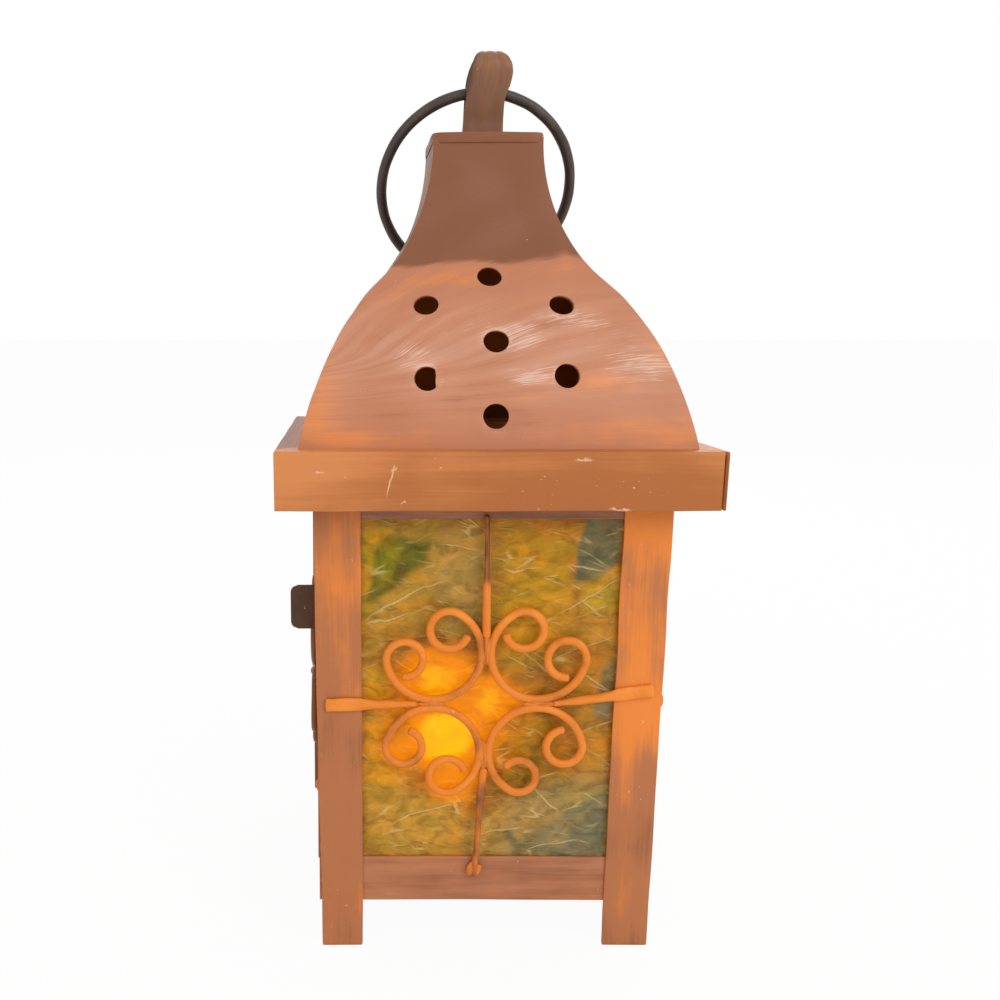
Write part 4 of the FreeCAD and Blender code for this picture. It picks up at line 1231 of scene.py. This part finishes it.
def scroll_path(stem_turn=275.0, arm_turn=275.0, stem_size=1.0, arm_size=1.0):
    """A C scroll in the upper right quarter: curl, belly and curl, each arc touching the next from inside."""
    middle = (SCROLL_SPACING, SCROLL_SPACING)

    def curl(angle, size):
        radius = CURL_RADIUS * size
        a = math.radians(angle)
        inset = SCROLL_RADIUS - radius
        return (middle[0] + inset * math.cos(a), middle[1] + inset * math.sin(a)), radius

    stem_centre, stem_radius = curl(STEM_ANGLE, stem_size)
    arm_centre, arm_radius = curl(ARM_ANGLE, arm_size)
    first = arc(stem_centre, stem_radius, STEM_ANGLE - stem_turn, STEM_ANGLE, 40)
    belly = arc(middle, SCROLL_RADIUS, STEM_ANGLE, 360 + ARM_ANGLE, 56)
    last = arc(arm_centre, arm_radius, ARM_ANGLE, ARM_ANGLE + arm_turn, 40)
    return np.concatenate([first, belly[1:], last[1:]])


# How the wire of each front scroll was bent by hand: the turn and size of its curls.
FRONT_BENDS = {
    "upper_right": (285.0, 285.0, 1.05, 1.05),
    "upper_left": (280.0, 285.0, 1.05, 1.0),
    "lower_left": (282.0, 262.0, 1.0, 1.0),
    "lower_right": (262.0, 275.0, 0.95, 1.0),
}


# How far out a grille lies and how it meets its frame, in mm: face, step back at the opening's edges, lower
# and upper edge, reach of the arms and length of their paddles. The left side's grille is the door's.
DOOR_FIT = (HALF + 0.1, 0.0, 36.5, 149.4, 41.0, 8.5)
SIDE_FIT = (HALF, 0.8, RAIL_HIGH[2], HEAD_LOW[2], 55.3, 15.6)


def side_facts(side):
    """The label and body of a side's pieces, and how its grille fits."""
    return ("door", "door", DOOR_FIT) if side == "left" else (side, "lantern", SIDE_FIT)


# The normals of the planes that the wires are bent in: a side's own, and the one the stems step back in.
OUT, SIDEWAYS = (0.0, 1.0, 0.0), (1.0, 0.0, 0.0)


def wire_shape(side, path, normal, wide, high):
    """A wire with closed ends, turned to its side."""
    return loft(turned(closed_ends(wire_rings(path, normal, wide, high)), SIDES[side]))


def scroll_shape(side, quarter, wire):
    """A scroll's wire in its own quarter, turned to its side."""
    x_sign, z_sign = QUARTERS[quarter]
    bends = FRONT_BENDS[quarter] if side == "front" else (275.0, 275.0, 1.0, 1.0)
    flat = scroll_path(*bends)
    steps = np.linalg.norm(np.diff(flat, axis=0), axis=1)
    run = np.concatenate([[0], np.cumsum(steps)])
    depth = np.full(len(flat), -side_facts(side)[2][0] - wire / 2 * WIRE_FLAT)
    path = np.stack([GRILLE_X + x_sign * flat[:, 0], depth, GRILLE_Z + z_sign * flat[:, 1]], axis=-1)
    seed = 200 + 10 * (SIDES[side] // 90) + list(QUARTERS).index(quarter)
    stray = 1 + 0.035 * waves(run, 0 * run, seed, 14) - 0.07
    return wire_shape(side, path, OUT, wire / 2 * stray, wire / 2 * 0.96 * stray)


def grille_arm(side, sign, wire, rise):
    """A level wire that widens into a hammered paddle on the post.

    Its half width grows and its half height shrinks along a smooth step near the outer end.
    """
    face, _, _, _, reach, paddle = side_facts(side)[2]
    t = np.linspace(0, 1, 70)
    start = np.array([GRILLE_X + sign * 23.6, GRILLE_Z])
    end = np.array([sign * reach, GRILLE_Z + rise])
    flat = start + (end - start) * t[:, None]
    left = np.linalg.norm(end - flat, axis=1)
    step = smooth((paddle * 1.15 - left) / (paddle * 0.5))
    thin = np.clip(np.linalg.norm(flat - start, axis=1) / 9, 0, 1)
    wide = wire / 2 * (0.62 + 0.38 * thin) + (2.3 - wire / 2) * step
    wide = wide + 0.10 * waves(t * 60, 0 * t, 300 + int(sign) + len(side), 12)
    high = wire / 2 * (0.7 + 0.26 * thin) * (1 - step) + 0.8 * step
    depth = -face - wire / 2 * WIRE_FLAT * (1 - step) - 0.85 * step
    return wire_shape(side, np.stack([flat[:, 0], depth, flat[:, 1]], axis=-1), OUT, wide, high)


def grille_stem(side, sign, wire, end_z, lean):
    """An upright wire from between the scrolls to the rail, which steps back at the opening's edge."""
    face, step_in, low_edge, high_edge, _, _ = side_facts(side)[2]
    edge_z = high_edge if sign > 0 else low_edge
    t = np.linspace(0, 1, 70)
    start = GRILLE_Z + sign * 24.0
    z = start + (end_z - start) * t
    x = GRILLE_X + lean * t + 0.25 * waves(z, 0 * z, 17, 40)
    y = -face - wire / 2 * WIRE_FLAT + smooth((sign * (z - edge_z) + 3.4) / 3.0) * step_in
    thin = 1 - (0.4 if sign > 0 else 0.26) * np.clip((sign * (z - GRILLE_Z) - 38 - 3 * sign) / 5, 0, 1)
    high = wire / 2 * thin * (0.94 + 0.05 * waves(z, 0 * z, 21, 16))
    return wire_shape(side, np.stack([x, y, z], axis=-1), SIDEWAYS, wire / 2 * 0.96, high)


class LANTERN_OT_grilles(bpy.types.Operator):
    """C scrolls, arms and stems of all four sides"""

    bl_idname = "lantern.grilles"
    bl_label = "Wire grilles"

    def execute(self, context):
        wire = size_mm("grille_wire")
        for side in SIDES:
            label, body, _ = side_facts(side)
            # Painted shade: the door's wires are made much darker, standing in for the shade on that side.
            tone = 0.12 if body == "door" else 0.5
            for k, quarter in enumerate(QUARTERS):
                node = "scroll_" + label + "_" + quarter
                shape = scroll_shape(side, quarter, wire)
                add_piece("bent_" + node, shape, "orange_wire", [node], body, tone, patch=k)
            node = "grille_arms_" + label
            low, high = (corner[2] for corner in box_mm(node))
            arms = [grille_arm(side, sign, wire, rise) for sign, rise in ((1, 4.4), (-1, -0.8))]
            stems = ((1, high - 1, -1.0), (-1, low + 1, -2.2))
            shape = gathered(arms + [grille_stem(side, sign, wire, end, lean) for sign, end, lean in stems])
            z = shape[0][:, 2]
            # The arms and stems are made darker above z 132 and below z 66.
            worn = np.clip((z - 132) / 5, 0, 1) + 0.8 * np.clip((66 - z) / 5, 0, 1)
            add_piece("hammered_arms_" + label, shape, "orange_wire", [node], body, tone - 0.32 * worn)
        return {"FINISHED"}


class LANTERN_OT_solder(bpy.types.Operator):
    """Painted lumps of solder at the joins of each grille"""

    bl_idname = "lantern.solder"
    bl_label = "Solder"

    def execute(self, context):
        x, z, away = GRILLE_X, GRILLE_Z, SCROLL_SPACING + 1
        for n, side in enumerate(SIDES):
            label, body, (face, step_in, *_) = side_facts(side)
            low = box_mm("grille_arms_" + label)[0][2]
            depth = -face - 1.3
            lumps = [
                ((x + away, depth, z), (5.2, 1.25, 1.3)),
                ((x - away, depth, z), (5.2, 1.25, 1.3)),
                ((x, depth, z + away), (1.35, 1.25, 6.0)),
                ((x, depth, z - away), (1.4, 1.25, 6.0)),
                ((x - 2.0, depth + step_in, low + 3.0), (2.5, 1.0, 3.0)),
            ]
            dabs = [dab(place, radii, 400 + 10 * n + k) for k, (place, radii) in enumerate(lumps)]
            shape = gathered([loft(turned(rings, SIDES[side])) for rings in dabs])
            add_piece("solder_" + label, shape, "orange_wire", body=body, warmth=0.42)
        return {"FINISHED"}


# The glass

# Shards of other glass laid in the front pane: corners in mm across and up from the ground, tint, softness.
FRONT_SHARDS = (
    (((-43, 154), (0, 154), (0, 112), (-43, 106)), (0.46, 0.25, 0.030), 9.0),
    (((-43, 152), (-33, 153), (-38, 136), (-43, 118)), (0.52, 0.29, 0.008), 2.5),
    (
        ((-37, 149), (-21, 148), (-22, 139), (-28, 135), (-36, 129), (-42, 128), (-41, 135)),
        (0.165, 0.135, 0.012),
        2.4,
    ),
    (((-36, 149), (-30, 148), (-33, 134), (-40, 131)), (0.27, 0.22, 0.006), 3.0),
    (((-17, 152), (-2, 152), (-2, 118), (-12, 112), (-20, 132)), (0.46, 0.27, 0.055), 4.0),
    (((2, 152), (27, 152), (24, 116), (2, 110)), (0.52, 0.26, 0.012), 6.0),
    (((2, 126), (24, 130), (22, 108), (2, 104)), (0.60, 0.31, 0.012), 8.0),
    (((28.6, 156), (43, 156), (43, 141), (36, 133.5), (27, 134), (28.4, 147)), (0.17, 0.150, 0.070), 0.9),
    (((30, 133), (43, 137), (43, 124), (29, 122)), (0.52, 0.31, 0.022), 6.0),
    (((24, 120), (43, 122), (43, 66), (26, 70)), (0.52, 0.24, 0.022), 6.0),
    (((38, 104), (43, 106), (43, 84), (36, 86)), (0.26, 0.20, 0.09), 2.0),
    (((-43, 104), (-30, 102), (-28, 62), (-43, 58)), (0.64, 0.31, 0.012), 7.0),
    (((2, 84), (24, 86), (26, 62), (4, 60)), (0.38, 0.19, 0.008), 5.0),
    (((-43, 60), (-6, 58), (-4, 34), (-43, 34)), (0.56, 0.29, 0.035), 9.0),
    (((-8, 50), (12, 56), (18, 34), (-8, 34)), (0.56, 0.30, 0.050), 5.0),
    (((8, 58), (43, 68), (43, 34), (4, 34)), (0.38, 0.25, 0.075), 8.0),
    (((14, 43), (28, 51), (43, 61), (43, 34), (8, 34)), (0.27, 0.215, 0.10), 3.0),
    (((31, 46), (43, 54), (43, 34), (25, 34)), (0.20, 0.175, 0.095), 2.0),
    (((6, 44), (9, 44.5), (14, 35), (11, 34.5)), (0.17, 0.14, 0.055), 1.6),
)

# Lobes of the painted glow, standing in for the candle's light in the front pane: x and z of the middle,
# reaches along both, and strength. The first is the flame, the others its images off the panes behind and the
# wide glow round them.
PAINTED_GLOW_LOBES = (
    (-14.5, 79, 14, 14, 1.25),
    (-18, 100, 15, 13, 0.90),
    (0, 92, 13, 12, 0.86),
    (-11, 62, 12, 10, 0.70),
    (-29, 74, 11, 11, 0.62),
    (-10, 84, 31, 31, 0.58),
)
# The painted glow of the other panes.
PAINTED_PLAIN_GLOW = ((-6, 72, 15, 18, 1.05), (-4, 78, 31, 33, 0.60))


def inside_share(points, corners, softness):
    """How far points lie inside a convex shard, 0 to 1: the least distance to its sides over the softness."""
    corners = np.asarray(corners, float)
    after = np.roll(corners, -1, axis=0) - corners
    area = np.sum(corners[:, 0] * after[:, 1] - after[:, 0] * corners[:, 1])
    normal = unit(np.stack([-after[:, 1], after[:, 0]], axis=-1)) * np.sign(area)
    distance = np.min(np.einsum("pkc,kc->pk", points[:, None] - corners[None], normal), axis=1)
    return np.clip(distance / softness + 0.5, 0, 1)


def pane_tint(points, amber, seed):
    """The glass's tint: amber with shards of other glass laid over it, mirrored and shifted off the front."""
    colour = np.tile(np.asarray(amber, float), (len(points), 1))
    place = points.copy()
    if seed:
        place[:, 0] *= -1 if seed % 2 else 1
        place[:, 0] += 9 * waves(place[:, 1], 0 * place[:, 1], seed, 90)
        if seed > 1:
            place[:, 1] = 190 - place[:, 1]
    drift = [waves(place[:, 1 - n], place[:, n], seed + 500 + n, 16) for n in (0, 1)]
    place += 1.1 * np.stack(drift, axis=-1)
    for corners, tint, softness in FRONT_SHARDS:
        share = inside_share(place, corners, softness)[:, None]
        colour = colour * (1 - share) + np.asarray(tint) * share
    return colour


class LANTERN_OT_glass(bpy.types.Operator):
    """Four rolled panes"""

    bl_idname = "lantern.glass"
    bl_label = "Glass panes"

    def execute(self, context):
        amber = tuple(context.scene.lantern_colours.amber)
        for seed, side in enumerate(SIDES):
            node = "door_glass" if side == "left" else "glass_" + side
            low, high = box_mm(node)
            across, through = (1, 0) if seed % 2 else (0, 1)
            reach = high[across]
            outer = max(abs(low[through]), abs(high[through]))
            thick = high[through] - low[through]
            flat, quads = plain_patch(np.linspace(-reach, reach, 90), np.linspace(low[2], high[2], 120))
            ripple = 0.12 * (1 + waves(flat[:, 0], flat[:, 1], 600 + seed, 11))
            front = np.stack([flat[:, 0], -outer + ripple, flat[:, 1]], axis=-1)
            back = np.stack([flat[:, 0], np.full(len(flat), -outer + thick), flat[:, 1]], axis=-1)
            uv = flat + np.array(PANE_SHIFT) * seed
            points, faces, corner_uv = thick_sheet(front, back, quads, uv)
            shape = (turned(points, SIDES[side]), faces, corner_uv)
            piece = add_piece("rolled_" + node, shape, "streaky_glass", [node], side_facts(side)[1])
            colour = np.concatenate([pane_tint(flat, amber, seed)] * 2)
            colour = np.concatenate([colour, np.ones((len(colour), 1))], axis=1).astype(np.float32)
            tint = piece.data.attributes.new("tint", "FLOAT_COLOR", "POINT")
            tint.data.foreach_set("color", colour.ravel())
            hand = 1 if side in ("front", "back") else -1
            x = hand * flat[:, 0] + 1.5 * waves(flat[:, 1], flat[:, 0], 700 + seed, 18)
            # Painted glow of the candle's light on each pane, weaker on the door's.
            lobes = PAINTED_GLOW_LOBES if side == "front" else PAINTED_PLAIN_GLOW
            share = 0.6 if side == "left" else 1.0
            strength = np.tile(share * spots(x, flat[:, 1], lobes), 2).astype(np.float32)
            glow = piece.data.attributes.new("glow", "FLOAT", "POINT")
            glow.data.foreach_set("value", strength)
        return {"FINISHED"}


class LANTERN_OT_door(bpy.types.Operator):
    """The door's frame strips and its finger tab"""

    bl_idname = "lantern.door"
    bl_label = "Door"

    def execute(self, context):
        for k, part in enumerate(("stile_hinge", "stile_latch", "rail_top", "rail_bottom")):
            node = "door_" + part
            low, high = box_mm(node)
            axis = 2 if part.startswith("stile") else 1
            (a, b), (c, d) = ((low[n], high[n]) for n in range(3) if n != axis)
            corners = [(a, c), (b, c), (b, d), (a, d)]
            stations = np.linspace(low[axis], high[axis], 60)
            rings = swept_sheet(corners, stations, axis, 130 + k, size_mm("unevenness") * 0.5)
            shape = loft(np.clip(rings, low, high))
            add_piece("strip_" + node, shape, "post_paint", [node], "door", 0.45)
        low, high = box_mm("door_finger_tab")
        t = size_mm("sheet")
        corners = [(high[0], low[1]), (low[0], low[1]), (low[0], low[1] + t)]
        corners += [(high[0] - t, low[1] + t), (high[0] - t, high[1]), (high[0], high[1])]
        heights = np.linspace(low[2], high[2], 24)
        outline = rounded_outline(corners, 0.3)
        middle, half, round_off = (low[2] + high[2]) / 2, (high[2] - low[2]) / 2, 2.6
        near_end = np.clip((np.abs(heights - middle) - half + round_off) / round_off, 0, 1)[:, None]
        inset = round_off * (1 - np.sqrt(np.clip(1 - near_end ** 2, 0, 1)))
        tip = np.clip((high[0] - 3 - outline[:, 0]) / (high[0] - 3 - low[0]), 0, 1)
        y = outline[:, 1] + 0.25 * waves(heights[:, None], outline[:, 0], 31, 16) * tip
        rings = np.stack(np.broadcast_arrays(outline[:, 0] + inset * tip, y, heights[:, None]), axis=-1)
        add_piece("bent_finger_tab", loft(rings), "tab_paint", ["door_finger_tab"], "door", 0.4)
        return {"FINISHED"}


# The candle's outline: shares of its radius and of its height.
CANDLE_OUT = (0.3, 0.86, 0.97, 1, 1, 0.99, 0.985, 0.96, 0.9, 0.8, 0.55, 0.2, 0.03)
CANDLE_UP = (0, 0, 0.01, 0.05, 0.5, 0.9, 0.97, 1, 0.985, 0.95, 0.935, 0.93, 0.935)


class LANTERN_OT_candle(bpy.types.Operator):
    """The candle with its melted pool, the wick and the flame"""

    bl_idname = "lantern.candle"
    bl_label = "Candle"

    def execute(self, context):
        x, y = (CANDLE_LOW[:2] + CANDLE_HIGH[:2]) / 2
        radius = (CANDLE_HIGH[0] - CANDLE_LOW[0]) / 2
        low, high = CANDLE_LOW[2], CANDLE_HIGH[2]
        steps = np.arange(len(CANDLE_OUT))
        t = np.linspace(0, steps[-1], 60)
        out, up = (np.interp(t, steps, shares)[:, None] for shares in (CANDLE_OUT, CANDLE_UP))
        angle = round_angles(72)
        cosine, sine = np.cos(angle), np.sin(angle)
        r = out * radius * (1 - 0.012 * (1 + waves(cosine * 20, sine * 20 + up * 30, 51, 16)))
        melt = 1.2 * np.clip((up - 0.9) / 0.1, 0, 1)
        z = low + (high - low) * up - melt * (1 + waves(cosine * 16, sine * 16, 52, 18)) / 2
        shape = loft(np.stack([x + r * cosine, y + r * sine, z], axis=-1))
        add_piece("wax_candle", shape, "pale_wax", ["candle"], "candle", smooth_angle=50)
        foot, tip = high - 3.2, box_mm("wick")[1][2]
        s = np.linspace(0, 1, 24)
        path = np.stack([x + 0.6 * s ** 2, np.full(24, y), foot + (tip - foot) * s], axis=-1)
        thick = 0.75 - 0.15 * s
        rings = wire_rings(path, OUT, thick, thick, 12)
        add_piece("bent_wick", loft(closed_ends(rings[:-2])), "charred_cotton", ["wick"], "candle")
        height = size_mm("flame")
        s = np.linspace(0.0, 1.0, 40)[:, None]
        r = 3.9 * np.sqrt(np.clip(s, 0.002, 1)) * (1 - s) ** 0.85 * 1.7 + 0.05
        cosine, sine = cosine[::3], sine[::3]
        rings = (x + 0.3 + r * cosine + 0.5 * s ** 2, y + r * sine, high - 1 + height * s)
        shape = loft(np.stack(np.broadcast_arrays(*rings), axis=-1))
        add_piece("candle_flame", shape, "burning", body="candle", smooth_angle=180)
        return {"FINISHED"}


class LANTERN_OT_small_metal(bpy.types.Operator):
    """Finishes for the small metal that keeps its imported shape"""

    bl_idname = "lantern.small_metal"
    bl_label = "Small metal"

    def execute(self, context):
        sooty = ("floor_pan", "candle_cup", "door_glass_clips", "post_hinge_leaves", "door_hinge_leaves")
        for finish, nodes in (("sooty_inside", sooty), ("drawn_steel", ("hinge_pins",))):
            for node in nodes:
                mesh = frame["nodes"][node].data
                mesh.materials.clear()
                mesh.materials.append(finishes()[finish])
        return {"FINISHED"}


# The photograph's camera: focal length and shifts in picture widths, downward pitch in degrees, and place.
PHOTO_FOCAL = 1.03447
PHOTO_SHIFT = (0.1505, 0.05)
PHOTO_PITCH = 11.81
PHOTO_EYE = (-0.0476, -0.3939, 0.2153)
SENSOR_MM = 36.0

# The studio's lamps, in metres and watts: name, place, size, power and colour. They look at the aim.
LAMP_AIM = (0, 0, 0.15)
LAMPS = (
    ("key_light", (0.75, -1.0, 0.95), 0.9, 8.0, (1.0, 0.98, 0.95)),
    ("fill_light", (-0.95, -0.9, 0.45), 0.8, 1.5, (1.0, 0.97, 0.92)),
    ("back_light", (0.3, 1.1, 0.9), 0.8, 4.0, (1.0, 1.0, 1.0)),
)
FLOOR_REACH = 40


class LANTERN_OT_stage(bpy.types.Operator):
    """Floor, studio light, candle light and the photograph's camera"""

    bl_idname = "lantern.stage"
    bl_label = "Stage"

    def execute(self, context):
        self.make_floor(context.scene)
        self.make_world(context.scene)
        self.make_lamps(context.scene)
        self.make_camera(context.scene)
        context.scene.view_settings.view_transform = "Standard"
        return {"FINISHED"}

    def make_floor(self, scene):
        """A pale floor that looks white to the camera, also through the glass and in it."""
        r = FLOOR_REACH
        mesh = bpy.data.meshes.new("pale_floor")
        mesh.from_pydata([(-r, -r, 0), (r, -r, 0), (r, r, 0), (-r, r, 0)], [], [(0, 1, 2, 3)])
        floor = bpy.data.objects.new("pale_floor", mesh)
        scene.collection.objects.link(floor)
        white = Finish("floor_white")
        seen = white.times(seen_rays(white.tree), 0.95)
        glare = white.put("ShaderNodeEmission", {"Color": (1, 1, 1, 1)}).outputs[0]
        both = white.put("ShaderNodeMixShader", {0: seen, 1: white.shader.outputs[0], 2: glare})
        fill(white.tree, white.tree.nodes["Material Output"].inputs["Surface"], both.outputs[0])
        mesh.materials.append(white.set(Base_Color=(0.92, 0.92, 0.92, 1), Roughness=0.9))

    def make_world(self, scene):
        """A soft sky for the light, and a white backdrop where it is seen."""
        scene.world = bpy.data.worlds.new("studio")
        scene.world.use_nodes = True
        tree = scene.world.node_tree
        sky = tree.nodes["Background"]
        fill(tree, sky.inputs["Color"], (1.0, 0.985, 0.96, 1))
        fill(tree, sky.inputs["Strength"], 0.66)
        backdrop = put(tree, "ShaderNodeBackground", {"Color": (1, 1, 1, 1), "Strength": 1.0})
        inputs = {0: seen_rays(tree), 1: sky.outputs[0], 2: backdrop.outputs[0]}
        both = put(tree, "ShaderNodeMixShader", inputs)
        fill(tree, tree.nodes["World Output"].inputs["Surface"], both.outputs[0])

    def make_lamps(self, scene):
        """The studio's area lamps, and the candle's own small light."""
        for name, place, size, power, colour in LAMPS:
            data = self.lamp(scene, name, "AREA", place, power, colour)
            data.size = size
            turn = (Vector(LAMP_AIM) - Vector(place)).to_track_quat("-Z", "Y")
            bpy.data.objects[name].rotation_euler = turn.to_euler()
        place, colour = (CANDLE_X * MM, 0, FLAME_Z * MM), scene.lantern_colours.flame
        self.lamp(scene, "candle_light", "POINT", place, 0.05, colour).shadow_soft_size = 0.006

    def lamp(self, scene, name, kind, place, power, colour):
        """One lamp, and what it shines with."""
        data = bpy.data.lights.new(name, kind)
        data.energy = power
        data.color = colour
        lamp = bpy.data.objects.new(name, data)
        lamp.location = place
        scene.collection.objects.link(lamp)
        return data

    def make_camera(self, scene):
        """The photograph's camera, solved from the lantern's straight edges."""
        camera = bpy.data.cameras.new("photo_camera")
        camera.sensor_width = SENSOR_MM
        camera.lens = SENSOR_MM * PHOTO_FOCAL
        camera.shift_x, camera.shift_y = PHOTO_SHIFT
        eye = bpy.data.objects.new("photo_camera", camera)
        eye.location = PHOTO_EYE
        eye.rotation_euler = (math.radians(90 - PHOTO_PITCH), 0, 0)
        scene.collection.objects.link(eye)
        scene.camera = eye


class LANTERN_PT_panel(bpy.types.Panel):
    """Lists the lantern's sizes, colours and pieces"""

    bl_idname = "LANTERN_PT_panel"
    bl_label = "Tin lantern"
    bl_space_type = "VIEW_3D"
    bl_region_type = "UI"
    bl_category = "Lantern"

    def draw(self, context):
        layout = self.layout
        for group in (context.scene.lantern_sizes, context.scene.lantern_colours):
            column = layout.column(align=True)
            for key in group.__annotations__:
                column.prop(group, key)
        column = layout.column(align=True)
        for operator in OPERATORS:
            column.operator(operator.bl_idname)


OPERATORS = (
    LANTERN_OT_roof,
    LANTERN_OT_cap,
    LANTERN_OT_hanger,
    LANTERN_OT_ring,
    LANTERN_OT_posts,
    LANTERN_OT_rails,
    LANTERN_OT_eave,
    LANTERN_OT_grilles,
    LANTERN_OT_solder,
    LANTERN_OT_glass,
    LANTERN_OT_door,
    LANTERN_OT_candle,
    LANTERN_OT_small_metal,
    LANTERN_OT_stage,
)
CLASSES = (LanternSizes, LanternColours, *OPERATORS, LANTERN_PT_panel)


def register():
    """Makes the add-on's classes known and gives each scene its sizes and colours."""
    for cls in CLASSES:
        bpy.utils.register_class(cls)
    bpy.types.Scene.lantern_sizes = PointerProperty(type=LanternSizes)
    bpy.types.Scene.lantern_colours = PointerProperty(type=LanternColours)


def unregister():
    """Takes back what register does."""
    del bpy.types.Scene.lantern_colours
    del bpy.types.Scene.lantern_sizes
    for cls in reversed(CLASSES):
        bpy.utils.unregister_class(cls)


def main():
    """Registers the add-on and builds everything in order."""
    register()
    for operator in OPERATORS:
        group, name = operator.bl_idname.split(".")
        getattr(getattr(bpy.ops, group), name)()


if __name__ == "__main__":
    main()
